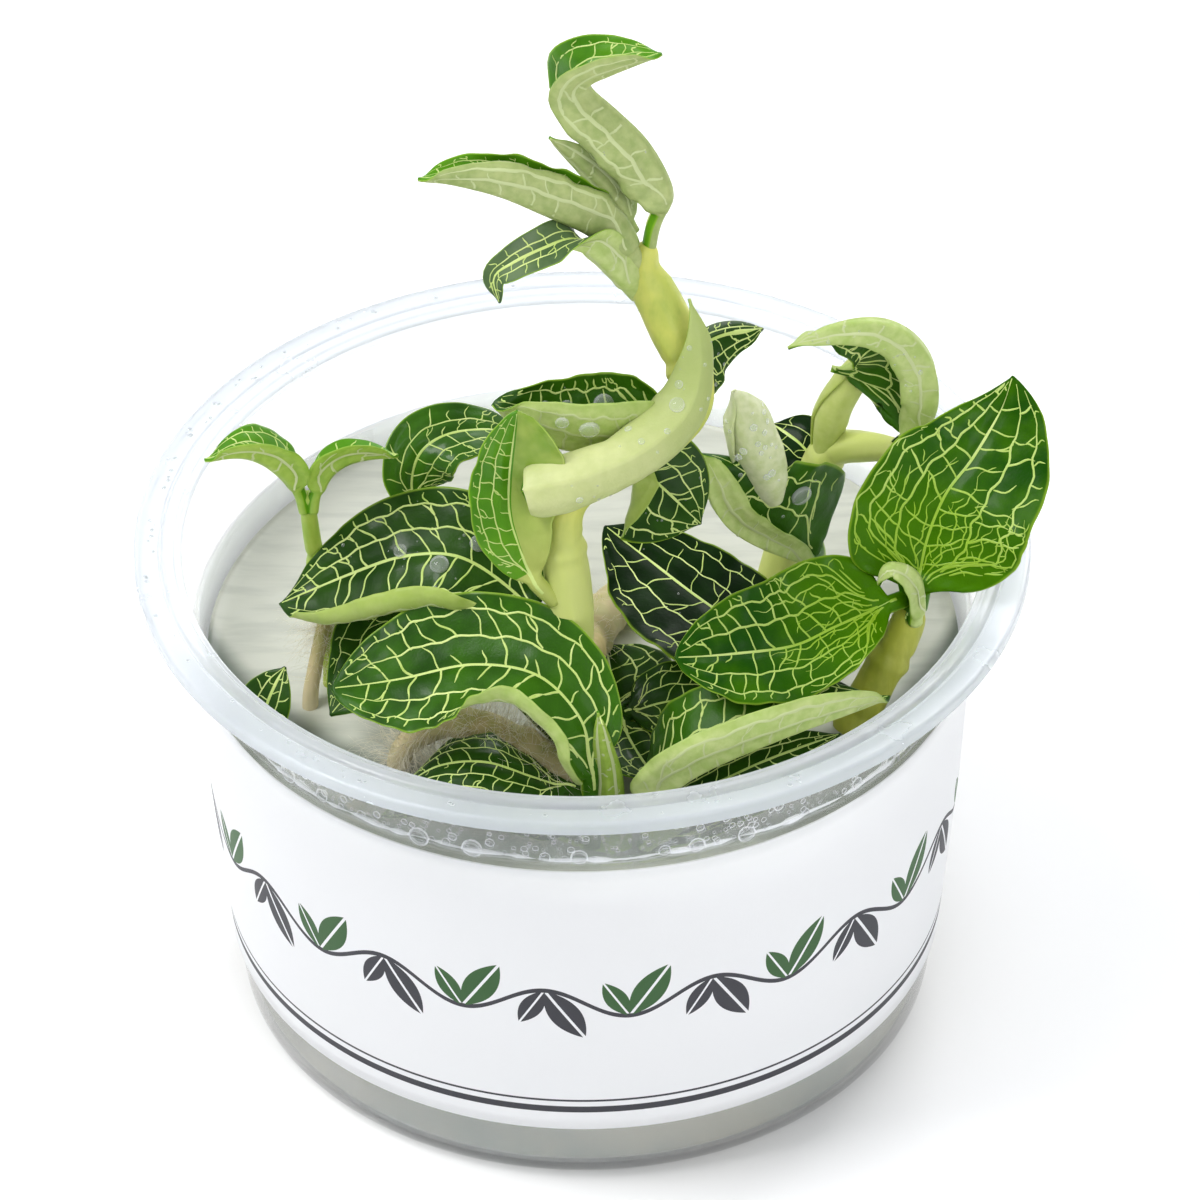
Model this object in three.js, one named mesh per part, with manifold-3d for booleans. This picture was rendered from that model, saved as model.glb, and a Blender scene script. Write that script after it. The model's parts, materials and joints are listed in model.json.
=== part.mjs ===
// A jewel orchid in its clear culture cup: cup, label, gel, stems, roots and leaves.
// Millimetres, +Z up. The origin is the centre of the cup's underside, -Y is the front.
import * as THREE from 'three';
import { mergeVertices } from 'three/addons/utils/BufferGeometryUtils.js';
import Module from 'manifold-3d';

const wasm = await Module();
wasm.setup();

// ---- Driving sizes ----

const GAP = 0.3; // clearance between two pieces that touch
const BLADE = 0.7; // thickness of a leaf
const LARGE = { rows: 11, columns: 8 }; // steps along and across a large leaf
const MEDIUM = { rows: 9, columns: 6 };
const SMALL = { rows: 7, columns: 6 };
const SHOOT_SIDES = 8;

const CUP = {
  wall: 0.7,
  footRadius: 39.6,
  footCorner: 2,
  ledgeRadius: 43.3,
  ledgeHeight: 48.8,
  neckRadius: 44.6,
  neckHeight: 55.5,
  mouthRadius: 44.7,
  ridgeRadius: 46.2,
  rimRadius: 50,
  rimHeight: 60.5,
  lip: 1.6, // depth of the rim's outer edge
  lipWidth: 0.7,
  flange: 1.2, // depth of the flat rim's underside
  bevel: 0.4,
  groove: 0.5, // depth of the flat band between ridge and lip
  ridgeWidth: 1.1,
  segments: 32,
};
const GEL = { bottom: 1.3, top: 45, meniscus: 0.6, meniscusWidth: 1.6 };
const LABEL = { bottom: 8.3, top: 47.6, thickness: 0.3, opening: 5 };

// ---- Materials ----

const finish = (color, roughness) => new THREE.MeshStandardMaterial({ color, roughness, metalness: 0 });
const CLEAR_PLASTIC = finish('#e8eef2', 0.15);
const PAPER = finish('#f4f5f7', 0.5);
const GEL_FINISH = finish('#c8cbc6', 0.2);
const BRIGHT_LEAF = finish('#2c6b1c', 0.35);
const DARK_LEAF = finish('#16351a', 0.35);
const PALE_LEAF = finish('#a9bf86', 0.45);
const STEM_GREEN = finish('#a5b451', 0.4);
const ROOT_BROWN = finish('#9c8a5f', 0.7);

// ---- Solids ----

function toSolid(geometry) {
  geometry.deleteAttribute('normal');
  geometry.deleteAttribute('uv');
  const merged = mergeVertices(geometry, 1e-4);
  const mesh = new wasm.Mesh({
    numProp: 3,
    vertProperties: new Float32Array(merged.attributes.position.array),
    triVerts: new Uint32Array(merged.index.array),
  });
  return new wasm.Manifold(mesh);
}

function toGeometry(solid) {
  const mesh = solid.getMesh();
  const geometry = new THREE.BufferGeometry();
  geometry.setAttribute('position', new THREE.BufferAttribute(mesh.vertProperties, 3));
  geometry.setIndex(new THREE.BufferAttribute(mesh.triVerts, 1));
  geometry.computeVertexNormals();
  return geometry;
}

// A closed skin over rings of points. Rings run along the piece, and points go round each ring.
function ringSolid(rings) {
  const sides = rings[0].length;
  const centre = (ring) => ring.reduce((sum, p) => sum.add(p), new THREE.Vector3()).divideScalar(sides);
  const points = [...rings.flat(), centre(rings[0]), centre(rings[rings.length - 1])];
  const start = points.length - 2;
  const end = points.length - 1;
  const faces = [];
  for (let k = 0; k < sides; k += 1) {
    const next = (k + 1) % sides;
    for (let i = 0; i < rings.length - 1; i += 1) {
      const [a, b] = [i * sides + k, i * sides + next];
      faces.push(a, b, b + sides, a, b + sides, a + sides);
    }
    const last = (rings.length - 1) * sides;
    faces.push(start, next, k, end, last + k, last + next);
  }
  return pointSolid(points, faces);
}

function pointSolid(points, faces) {
  const geometry = new THREE.BufferGeometry().setFromPoints(points);
  geometry.setIndex(faces);
  return toSolid(geometry);
}

function largestBody(solid) {
  return solid.decompose().reduce((a, b) => (a.volume() > b.volume() ? a : b));
}

// Cut away what would cross an obstacle, and drop the loose scraps.
function trimmed(solid, obstacles) {
  const box = (item) => {
    const bounds = item.boundingBox();
    return new THREE.Box3(new THREE.Vector3(...bounds.min), new THREE.Vector3(...bounds.max));
  };
  const near = obstacles.filter((item) => box(item).intersectsBox(box(solid)));
  return largestBody(near.reduce((rest, item) => rest.subtract(item), solid));
}

// ---- Curves ----

const vector = (p) => new THREE.Vector3(...p);

// A value that changes evenly along a list of stations, at t from 0 to 1.
function along(values, t) {
  if (!Array.isArray(values)) return values;
  const place = t * (values.length - 1);
  const i = Math.min(Math.floor(place), values.length - 2);
  return values[i] + (values[i + 1] - values[i]) * (place - i);
}

function spineOf(points, steps) {
  const curve = new THREE.CatmullRomCurve3(points.map(vector), false, 'catmullrom', 0.5);
  curve.arcLengthDivisions = 400;
  const places = Array.from({ length: steps + 1 }, (_, i) => i / steps);
  return places.map((t) => ({ t, at: curve.getPointAt(t), ahead: curve.getTangentAt(t) }));
}

// ---- Stems, roots and buds ----

function shootRings(shoot, extra) {
  const steps = Math.round((shoot.spine.length - 1) * 1.5);
  const stations = spineOf(shoot.spine, steps);
  let side = new THREE.Vector3(1, 0, 0);
  return stations.map(({ t, at, ahead }, i) => {
    side = side.clone().addScaledVector(ahead, -side.dot(ahead)).normalize();
    const other = new THREE.Vector3().crossVectors(ahead, side);
    const radius = along(shoot.radius, t) + extra;
    const push = i === 0 ? -extra : i === steps ? extra : 0;
    return Array.from({ length: SHOOT_SIDES }, (_, k) => {
      const angle = (2 * Math.PI * k) / SHOOT_SIDES;
      return at
        .clone()
        .addScaledVector(ahead, push)
        .addScaledVector(side, radius * Math.cos(angle))
        .addScaledVector(other, radius * Math.sin(angle));
    });
  });
}

const shootSolid = (shoot, extra = 0) => ringSolid(shootRings(shoot, extra));

// ---- Leaves ----

const smooth = (x) => {
  const c = Math.min(Math.max(x, 0), 1);
  return c * c * (3 - 2 * c);
};

// Half width at u along the blade: it rises with the power base and falls with the power tip.
function halfWidth(half, stalkWidth, u) {
  const peak = half.base / (half.base + half.tip);
  const top = peak ** half.base * (1 - peak) ** half.tip;
  const blade = u > 0 ? (half.width * u ** half.base * Math.max(1 - u, 0) ** half.tip) / top : 0;
  const stalk = stalkWidth * Math.min(1 - u, 1);
  return Math.max(Math.cbrt(blade ** 3 + stalk ** 3), 0.15);
}

// One half's section at a station, from the midrib outwards: it starts at the fold angle and curls on.
function halfSection(leaf, half, t, count) {
  const u = (t - leaf.stalk) / (1 - leaf.stalk);
  const width = halfWidth(half, leaf.stalkWidth ?? 1, u);
  const ease = smooth((width / half.width - 0.08) / 0.35);
  const fold = THREE.MathUtils.degToRad(along(half.fold, t)) * ease;
  const curl = THREE.MathUtils.degToRad(along(half.curl, t)) * ease;
  const fine = 10 * count;
  const section = [[0, 0]];
  let [out, up] = [0, 0];
  for (let k = 0; k < fine; k += 1) {
    const angle = fold + curl * ((k + 0.5) / fine) ** (half.lip ?? 1);
    out += (Math.cos(angle) * width) / fine;
    up += (Math.sin(angle) * width) / fine;
    if ((k + 1) % 10 === 0) section.push([out, up]);
  }
  return section;
}

// The leaf's middle surface as rows of points, from its left margin to its right.
function leafGrid(leaf) {
  const { rows, columns } = leaf.steps ?? LARGE;
  const count = columns / 2;
  const facing = (t) => vector([0, 1, 2].map((axis) => along(leaf.facing.map((f) => f[axis]), t)));
  return spineOf(leaf.spine, rows).map(({ t, at, ahead }) => {
    const normal = facing(t);
    normal.addScaledVector(ahead, -normal.dot(ahead)).normalize();
    const right = new THREE.Vector3().crossVectors(ahead, normal);
    const place = (sign) => ([out, up]) =>
      at.clone().addScaledVector(right, sign * out).addScaledVector(normal, up);
    const leftHalf = halfSection(leaf, leaf.left, t, count).map(place(-1));
    const rightHalf = halfSection(leaf, leaf.right, t, count).map(place(1));
    return [...leftHalf.reverse(), ...rightHalf.slice(1)];
  });
}

const clampIndex = (i, last) => Math.min(Math.max(i, 0), last);

function gridNormal(grid, i, j) {
  const [rows, columns] = [grid.length - 1, grid[0].length - 1];
  const down = grid[clampIndex(i + 1, rows)][j].clone().sub(grid[clampIndex(i - 1, rows)][j]);
  const across = grid[i][clampIndex(j + 1, columns)].clone().sub(grid[i][clampIndex(j - 1, columns)]);
  return across.cross(down).normalize();
}

// Each point beyond the margin moves outwards, so that a grown leaf also clears its edges.
function spread(grid, extra) {
  if (extra === 0) return grid;
  const [rows, columns] = [grid.length - 1, grid[0].length - 1];
  return grid.map((row, i) =>
    row.map((p, j) => {
      const moved = p.clone();
      const push = (inner) => moved.addScaledVector(p.clone().sub(inner).normalize(), extra);
      if (j === 0) push(row[1]);
      if (j === columns) push(row[columns - 1]);
      if (i === 0) push(grid[1][j]);
      if (i === rows) push(grid[rows - 1][j]);
      return moved;
    }),
  );
}

// Both faces share the same diagonals, and one wall goes round the margin.
function leafSolid(leaf, extra = 0) {
  const grid = leafGrid(leaf);
  const wide = spread(grid, extra);
  const width = grid[0].length;
  const rows = grid.length - 1;
  const count = grid.length * width;
  const face = (sign) =>
    wide.flatMap((row, i) =>
      row.map((p, j) => p.clone().addScaledVector(gridNormal(grid, i, j), sign * (BLADE / 2 + extra))),
    );
  const faces = [];
  for (let i = 0; i < rows; i += 1) {
    for (let j = 0; j < width - 1; j += 1) {
      const [a, b, c, d] = [i * width + j, i * width + j + 1, (i + 1) * width + j + 1, (i + 1) * width + j];
      faces.push(a, b, c, a, c, d);
      faces.push(count + a, count + c, count + b, count + a, count + d, count + c);
    }
  }
  const margin = [];
  for (let j = 0; j < width - 1; j += 1) margin.push(j);
  for (let i = 0; i < rows; i += 1) margin.push(i * width + width - 1);
  for (let j = width - 1; j > 0; j -= 1) margin.push(rows * width + j);
  for (let i = rows; i > 0; i -= 1) margin.push(i * width);
  margin.forEach((a, k) => {
    const b = margin[(k + 1) % margin.length];
    faces.push(a, count + a, count + b, a, count + b, b);
  });
  return pointSolid([...face(1), ...face(-1)], faces);
}

// ---- Cup, gel and label ----

// The outside of the cup's wall, from the foot up to the neck.
const WALL = [
  [CUP.footRadius + 0.3, 5],
  [42, 28],
  [CUP.ledgeRadius, CUP.ledgeHeight],
  [CUP.ledgeRadius + 0.6, CUP.ledgeHeight + 1.1],
  [CUP.neckRadius, CUP.neckHeight],
];

const point2 = ([r, z]) => new THREE.Vector2(r, z);

function wallRadius(height) {
  const upper = WALL.findIndex(([, z]) => z >= height);
  const [[r0, z0], [r1, z1]] = [WALL[upper - 1], WALL[upper]];
  return r0 + ((r1 - r0) * (height - z0)) / (z1 - z0);
}

function corner(radius, height, bend) {
  const steps = 3;
  return Array.from({ length: steps + 1 }, (_, i) => {
    const angle = -Math.PI / 2 + (Math.PI / 2) * (i / steps);
    return [radius - bend + bend * Math.cos(angle), height + bend + bend * Math.sin(angle)];
  });
}

function lathe(outline) {
  return toSolid(new THREE.LatheGeometry(outline.map(point2), CUP.segments).rotateX(Math.PI / 2));
}

function cupSolid() {
  const rim = CUP.rimHeight;
  const lipInside = CUP.rimRadius - CUP.lipWidth;
  const ridgeOutside = CUP.ridgeRadius + CUP.ridgeWidth / 2;
  const outside = [
    [0, 0],
    ...corner(CUP.footRadius, 0, CUP.footCorner),
    ...WALL,
    [CUP.mouthRadius + CUP.wall, rim - CUP.flange - CUP.wall],
    [lipInside, rim - CUP.flange],
    [lipInside, rim - CUP.lip],
    [CUP.rimRadius, rim - CUP.lip],
    [CUP.rimRadius, rim - CUP.bevel],
    [CUP.rimRadius - CUP.bevel, rim],
    [ridgeOutside + CUP.groove, rim - CUP.groove],
    [ridgeOutside, rim],
    [ridgeOutside - CUP.ridgeWidth, rim],
    [CUP.mouthRadius, rim - CUP.bevel],
  ];
  const inside = WALL.map(([r, z]) => [r - CUP.wall, z]).reverse();
  const floor = corner(CUP.footRadius - CUP.wall, CUP.wall, CUP.footCorner).reverse();
  return lathe([...outside, ...inside, ...floor, [0, CUP.wall]]);
}

function gelSolid(holes) {
  const inset = CUP.wall + GAP;
  const side = WALL.filter(([, z]) => z < GEL.top).map(([r, z]) => [r - inset, z]);
  const edge = wallRadius(GEL.top) - inset;
  const outline = [
    [0, GEL.bottom],
    ...corner(CUP.footRadius - inset, GEL.bottom, CUP.footCorner),
    ...side,
    [edge, GEL.top + GEL.meniscus],
    [edge - GEL.meniscusWidth / 3, GEL.top + GEL.meniscus / 3],
    [edge - GEL.meniscusWidth, GEL.top],
    [0, GEL.top],
  ];
  return trimmed(lathe(outline), holes);
}

// A band of paper round the wall, open at the back where its ends nearly meet.
function labelSolid() {
  const bends = WALL.map(([, z]) => z).filter((z) => z > LABEL.bottom && z < LABEL.top);
  const heights = [LABEL.bottom, ...bends, LABEL.top];
  const front = heights.map((z) => [wallRadius(z) + GAP + LABEL.thickness, z]);
  const back = front.map(([r, z]) => [r - LABEL.thickness, z]).reverse();
  const ring = lathe([...front, ...back, front[0]]);
  const gap = new THREE.BoxGeometry(LABEL.opening, CUP.rimRadius, CUP.rimHeight * 2);
  gap.translate(0, CUP.rimRadius, 0);
  return ring.subtract(toSolid(gap));
}

// ---- Stems, roots and buds: spine points, and radii spread evenly along them ----

const BACK = [0, 0.78, -0.62]; // away from the front and down, along the line of sight

const SHOOTS = [
  {
    name: 'stem_main',
    material: STEM_GREEN,
    spine: [
      [1, -27.5, 38], [0.5, -27.5, 45], [-0.5, -26, 52.5], [-1, -24, 62], [-1.5, -22, 68.5], [-2, -20, 74.5],
      [-1.5, -18.5, 79], [1, -17.5, 81.5], [5, -16, 82.5], [9, -13.5, 84], [12, -11, 87], [11.5, -8.5, 91],
      [9, -6, 96], [7, -5, 100.5], [7.5, -4.5, 104],
    ],
    radius: [2, 2, 1.9, 1.9, 2, 2.6, 2.5, 2, 1.9, 1.9, 2.1, 2.3, 2.6, 2.4, 1.1],
  },
  {
    name: 'stem_sprout',
    material: STEM_GREEN,
    spine: [
      [-28, -10.5, 38], [-28, -10.5, 44], [-28, -10.5, 50], [-28.5, -10, 56], [-29.5, -9.5, 62],
      [-30, -9, 68], [-30, -8, 73],
    ],
    radius: [1.2, 1.2, 1.1, 1, 1, 1, 1.2],
  },
  {
    name: 'stem_back_left',
    material: STEM_GREEN,
    spine: [[-21, 2, 38], [-21, 2, 44], [-19.5, 3, 51.5], [-18.5, 3.5, 61.5]],
    radius: [1.1, 1.1, 1, 0.9],
  },
  {
    name: 'stem_right',
    material: STEM_GREEN,
    spine: [
      [29.5, -15.5, 37], [30, -15, 44], [31.5, -14, 48], [33.5, -13, 52], [35.5, -12, 56],
      [36.5, -11.5, 59.5],
    ],
    radius: [2.3, 2.3, 2.3, 2.2, 2.1, 1.7],
  },
  {
    name: 'stem_back_right',
    material: STEM_GREEN,
    spine: [
      [20.5, 4, 37], [20.5, 4, 44], [22.5, 6, 53], [25, 7.5, 61], [28, 7, 66.5], [32, 4.5, 69],
      [35.5, 1, 71],
    ],
    radius: [2, 2, 2, 2, 2.1, 1.8, 1.3],
  },
  {
    name: 'stem_rosette',
    material: STEM_GREEN,
    spine: [[4, -15, 39], [4, -15.5, 43], [4, -16, 47.4]],
    radius: [1.5, 1.5, 1.2],
  },
  {
    name: 'stem_small_left',
    material: STEM_GREEN,
    spine: [[-36, -14, 39], [-36, -15, 43], [-36, -16, 47]],
    radius: [0.9, 0.9, 0.8],
  },
  {
    name: 'root_creeping',
    material: ROOT_BROWN,
    spine: [
      [-1, -21, 59], [0, -14, 55], [1, -5, 50], [3, 3, 47.6], [7.5, 7.5, 47.6], [13.5, 12, 45],
      [15, 13.5, 41],
    ],
    radius: [1.8, 2.2, 2.3, 2.4, 2.3, 1.9, 1.5],
  },
  {
    name: 'root_hairy',
    material: ROOT_BROWN,
    spine: [
      [-0.5, -27, 47.5], [-3.5, -26, 49], [-7.5, -24.5, 51], [-11.5, -23, 52], [-16, -21.5, 51],
      [-20, -21, 47], [-21, -21, 41],
    ],
    radius: [1.8, 2, 1.9, 1.7, 1.5, 1.3, 1],
  },
  {
    name: 'root_left',
    material: ROOT_BROWN,
    spine: [[-28.8, -11.5, 56.5], [-30, -12, 51], [-30.5, -12, 45], [-30.5, -12, 40]],
    radius: [0.8, 0.9, 1.1, 1],
  },
];

// Rolled young leaves, still closed.
const BUDS = [
  {
    name: 'bud_rolled',
    material: PALE_LEAF,
    spine: [[21.4, -3, 67], [20.8, -3.5, 71], [19, -3.5, 76.5], [17.8, -3, 80.5], [16.5, -3, 82.5]],
    radius: [1.9, 2.9, 3, 2.5, 1.1],
  },
  {
    name: 'bud_sheath',
    material: PALE_LEAF,
    spine: [[27, 7, 65.5], [28, 7, 72], [30, 7, 76.5], [32, 6.5, 81.5]],
    radius: [1.2, 2, 1.8, 0.5],
  },
];

// ---- Leaves: spine points from stalk to tip, the way the upper side faces, and the two halves ----
// fold and curl are in degrees towards the upper side, at stations spread evenly from base to tip.

const LEAVES = [
  {
    name: 'leaf_sheath_pale',
    material: PALE_LEAF,
    spine: [
      [-6, -23, 83.5], [-4, -24, 84.5], [0, -24, 84.5], [5, -22, 86], [9, -19.5, 87.5],
      [12.5, -16, 90.5], [13, -13, 94], [11.5, -10, 97.5],
    ],
    facing: [BACK, BACK, BACK, [-0.2, 0.75, -0.6], [-0.5, 0.75, -0.3]],
    steps: MEDIUM,
    stalk: 0,
    stalkWidth: 0.1,
    left: { width: 7.6, base: 0.14, tip: 0.42, fold: 5, curl: [130, 130, 120, 110, 110, 80, 30] },
    right: { width: 7.6, base: 0.14, tip: 0.42, fold: 5, curl: [130, 130, 120, 110, 110, 90, 40] },
  },
  {
    name: 'leaf_front_left',
    material: BRIGHT_LEAF,
    spine: [
      [0.5, -29, 46], [0.5, -30, 53], [-0.5, -29, 58], [-5, -26, 61.5], [-12, -24, 61.5],
      [-20, -24.5, 60], [-27.5, -25.5, 59.5],
    ],
    facing: [[0.3, -0.5, 0.7], [0, -0.5, 0.85], [-0.2, -0.4, 0.9], [-0.2, -0.5, 0.85]],
    stalk: 0.12,
    left: { width: 9.5, base: 0.4, tip: 0.45, fold: 5, curl: [120, 150, 140, 25, 10], lip: 1.6 },
    right: { width: 9, base: 0.8, tip: 0.6, fold: 5, curl: [10, 25, 30, 20] },
  },
  {
    name: 'leaf_right_broad',
    material: BRIGHT_LEAF,
    spine: [
      [35.5, -12, 60.5], [32, -14, 60.5], [27.5, -17, 60.5], [23, -19.5, 60], [16.5, -22, 61],
      [10, -24.5, 62.5],
    ],
    facing: [[-0.1, -0.6, 0.8], [-0.1, -0.6, 0.8]],
    stalk: 0.08,
    left: { width: 7, base: 0.6, tip: 0.42, fold: 5, curl: 20 },
    right: { width: 8.2, base: 0.25, tip: 0.5, fold: 5, curl: 15 },
  },
  {
    name: 'leaf_right_upright',
    material: BRIGHT_LEAF,
    spine: [
      [36.5, -11.5, 59], [37, -11, 62], [38, -9.5, 67], [40, -7.5, 71.5], [43, -5, 74.5],
      [46, -2, 78.5], [47.5, 0, 82],
    ],
    facing: [[0, -0.75, 0.65], [-0.1, -0.75, 0.65], [-0.1, -0.75, 0.6]],
    stalk: 0.1,
    stalkWidth: 1.6,
    left: { width: 8.8, base: 0.28, tip: 0.5, fold: 5, curl: 15 },
    right: { width: 9.8, base: 0.4, tip: 0.45, fold: 5, curl: 15 },
  },
  {
    name: 'leaf_front_right',
    material: BRIGHT_LEAF,
    spine: [
      [5.5, -29.5, 46], [8, -30.5, 49], [12.5, -31, 53], [19, -30, 55.5], [26, -27.5, 56.5],
      [33.5, -23, 55.5],
    ],
    facing: [[0, -0.1, 1], [0, -0.1, 1]],
    stalk: 0.04,
    left: { width: 9, base: 0.25, tip: 0.75, fold: 10, curl: 10 },
    right: { width: 6.5, base: 0.4, tip: 0.55, fold: 40, curl: [80, 95, 95, 60] },
  },
  {
    name: 'leaf_centre_upright',
    material: BRIGHT_LEAF,
    spine: [
      [-3.5, -24.5, 67.5], [-5, -24, 71], [-5.5, -23, 75], [-5, -21.5, 79.5], [-4.5, -19, 83.5],
      [-4, -16.5, 86.5], [-5.5, -14.5, 89],
    ],
    facing: [[-0.8, 0.1, 0.1], [-0.9, 0.1, 0], [-0.9, 0.1, 0.1]],
    stalk: 0.15,
    left: { width: 8.5, base: 0.55, tip: 0.5, fold: [70, 70, 65, 50], curl: 10 },
    right: { width: 6.8, base: 0.6, tip: 0.5, fold: 15, curl: [60, 70, 80, 80] },
  },
  {
    name: 'leaf_centre_trough',
    material: BRIGHT_LEAF,
    spine: [
      [12, -9.5, 84.5], [8, -11, 83.2], [3, -12.5, 82.8], [-2, -13.5, 84], [-6, -14, 86.5],
      [-9.5, -14, 89.5],
    ],
    facing: [[0, 0.15, 1], [0, 0.15, 1]],
    stalk: 0.08,
    left: { width: 8.2, base: 0.3, tip: 0.5, fold: 35, curl: 55 },
    right: { width: 8.2, base: 0.3, tip: 0.5, fold: 35, curl: 60 },
  },
  {
    name: 'leaf_left_broad',
    material: DARK_LEAF,
    spine: [
      [-1, -22, 59.5], [-4, -18, 61.5], [-8, -14.5, 64.5], [-13.5, -12, 67], [-19.5, -10.5, 66],
      [-26, -10, 63], [-33.5, -10, 59],
    ],
    facing: [[0.4, -0.4, 0.7], [0.1, -0.4, 0.9], [-0.1, -0.3, 0.9], [-0.2, -0.3, 0.9]],
    stalk: 0.2,
    left: { width: 11.5, base: 0.5, tip: 0.5, fold: -10, curl: [60, 160, 170, 165, 130], lip: 3 },
    right: { width: 7.6, base: 0.5, tip: 0.85, fold: 5, curl: [20, 35, 35, 20] },
  },
  {
    name: 'leaf_crown_hooked',
    material: PALE_LEAF,
    spine: [
      [7.5, -4.5, 103], [8, -4.5, 106], [9, -4.5, 109.5], [8.5, -4, 112], [6.5, -3.5, 116],
      [3.5, -3, 119.5], [1, -3, 122.5], [1, -3.5, 124.5], [4.5, -4, 126.5], [9, -4.5, 128.5],
    ],
    facing: [
      [-0.8, 0, -0.3], [-0.8, 0, -0.5], [-0.8, 0, -0.6], [-0.85, 0, -0.5], [-1, 0, 0.2],
      [-0.2, 0.1, 1], [-0.1, 0.1, 1],
    ],
    stalk: 0.16,
    stalkWidth: 0.8,
    left: { width: 8, base: 0.35, tip: 0.6, fold: [20, 30, 40, 30, 20], curl: [95, 60, 40, 50, 40] },
    right: { width: 6, base: 0.3, tip: 0.5, fold: 20, curl: [100, 100, 90, 70, 60] },
  },
  {
    name: 'leaf_crown_rolled',
    material: PALE_LEAF,
    spine: [
      [6.5, -5, 100], [4.5, -6, 105], [1.5, -7, 108.5], [-3, -8, 111.5], [-8, -9, 114.5],
      [-13, -9.5, 116], [-17, -10, 116.5],
    ],
    facing: [[-0.3, 0.3, 0.8], [0, 0.3, 0.85], [0, 0.3, 0.85]],
    steps: MEDIUM,
    stalk: 0.14,
    stalkWidth: 1.2,
    left: { width: 5.2, base: 0.35, tip: 0.55, fold: 15, curl: [100, 140, 140, 120, 50] },
    right: { width: 5.8, base: 0.35, tip: 0.55, fold: 15, curl: [100, 135, 130, 110, 40] },
  },
  {
    name: 'leaf_crown_flap',
    material: PALE_LEAF,
    spine: [[6, -4, 105], [4, -3.5, 109], [1, -3.5, 113], [-3, -4, 117.5]],
    facing: [[-0.4, 0.6, 0.6], [-0.4, 0.6, 0.6]],
    steps: SMALL,
    stalk: 0.1,
    stalkWidth: 0.6,
    left: { width: 2.4, base: 0.3, tip: 0.7, fold: 20, curl: 20 },
    right: { width: 1.6, base: 0.3, tip: 0.7, fold: 10, curl: 10 },
  },
  {
    name: 'leaf_crown_twisted',
    material: BRIGHT_LEAF,
    spine: [
      [6.5, -5.5, 98], [4, -7, 102.5], [1.5, -8.5, 106.5], [-1, -9.5, 108], [-4, -10.5, 107.5],
      [-7, -11.5, 106.5], [-9, -12, 105], [-8.5, -12.5, 102],
    ],
    facing: [
      [0, 0.8, 0.3], [-0.2, 0.8, 0.5], [-0.2, 0.6, 0.6], [-0.1, -0.5, 0.8], [-0.3, -0.7, 0.5],
      [-0.4, -0.8, 0.2],
    ],
    steps: SMALL,
    stalk: 0.1,
    stalkWidth: 1.2,
    left: { width: 3.6, base: 0.35, tip: 0.5, fold: 5, curl: 25 },
    right: { width: 3.2, base: 0.35, tip: 0.5, fold: 5, curl: 25 },
  },
  {
    name: 'leaf_behind_stem',
    material: DARK_LEAF,
    spine: [[11.5, -8, 89.5], [12.5, -5.5, 90], [15.5, -2, 89.5], [20, 1, 88]],
    facing: [[0, -0.3, 0.95], [0, -0.3, 0.95]],
    steps: SMALL,
    stalk: 0.18,
    stalkWidth: 0.7,
    left: { width: 1.6, base: 0.4, tip: 0.5, fold: 10, curl: 10 },
    right: { width: 5.6, base: 0.12, tip: 0.9, fold: -55, curl: 0 },
  },
  {
    name: 'leaf_right_folded',
    material: DARK_LEAF,
    spine: [
      [25, 5.5, 58.5], [26, 2, 57.5], [26, -1, 57.5], [23.5, -3, 60], [18.5, -5.5, 64.5], [15.5, -6.5, 68],
      [14, -6.5, 72], [13, -5.5, 76],
    ],
    facing: [[0.1, -0.1, 1], [0.1, -0.1, 1], [0.4, -0.1, 0.9], [0.8, -0.1, 0.4], [0.9, -0.1, 0.2]],
    stalk: 0.26,
    left: { width: 6.5, base: 0.35, tip: 0.25, fold: 55, curl: 40 },
    right: { width: 11, base: 0.22, tip: 0.55, fold: 38, curl: 10 },
  },
  {
    name: 'leaf_back_hooked',
    material: BRIGHT_LEAF,
    spine: [
      [35, 1, 71.5], [37, 1.5, 72.5], [39, 1.5, 77], [39, 1.5, 83], [37, 1, 88.5],
      [33.5, 0.5, 91.5], [28, -0.5, 92], [22.5, -2, 90.5],
    ],
    facing: [
      [-0.6, 0.1, 0.7], [-0.9, 0.1, 0.3], [-0.95, 0.1, -0.2], [-0.3, 0, -0.95], [-0.1, -0.2, -1],
    ],
    stalk: 0.05,
    left: { width: 10.5, base: 0.3, tip: 0.95, fold: [70, 75, 80, 70, 40], curl: [0, 0, 20, 40] },
    right: { width: 5.2, base: 0.35, tip: 0.45, fold: 10, curl: [150, 80, 70, 60, 60] },
  },
  {
    name: 'leaf_centre_pointed',
    material: DARK_LEAF,
    spine: [[5, -15.2, 80.3], [5.5, -12.5, 79.5], [8, -11, 76.5], [13, -11, 70.5]],
    facing: [[-0.1, -0.7, 0.7], [-0.1, -0.7, 0.7]],
    steps: SMALL,
    stalk: 0.12,
    left: { width: 6, base: 0.5, tip: 0.75, fold: 5, curl: 10 },
    right: { width: 7.5, base: 0.5, tip: 0.75, fold: 5, curl: 15 },
  },
  {
    name: 'leaf_right_under',
    material: DARK_LEAF,
    spine: [
      [30, -13.5, 47.5], [23.5, -12, 51], [17.5, -8, 53.5], [12, -3.5, 55], [7, 1, 56.5],
      [2.5, 4, 58.5],
    ],
    facing: [[0, -0.1, 1], [0, -0.15, 1]],
    stalk: 0.25,
    left: { width: 9.5, base: 0.4, tip: 0.6, fold: 0, curl: 10 },
    right: { width: 7, base: 0.4, tip: 0.6, fold: 0, curl: 15 },
  },
  {
    name: 'leaf_back_left',
    material: BRIGHT_LEAF,
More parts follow.
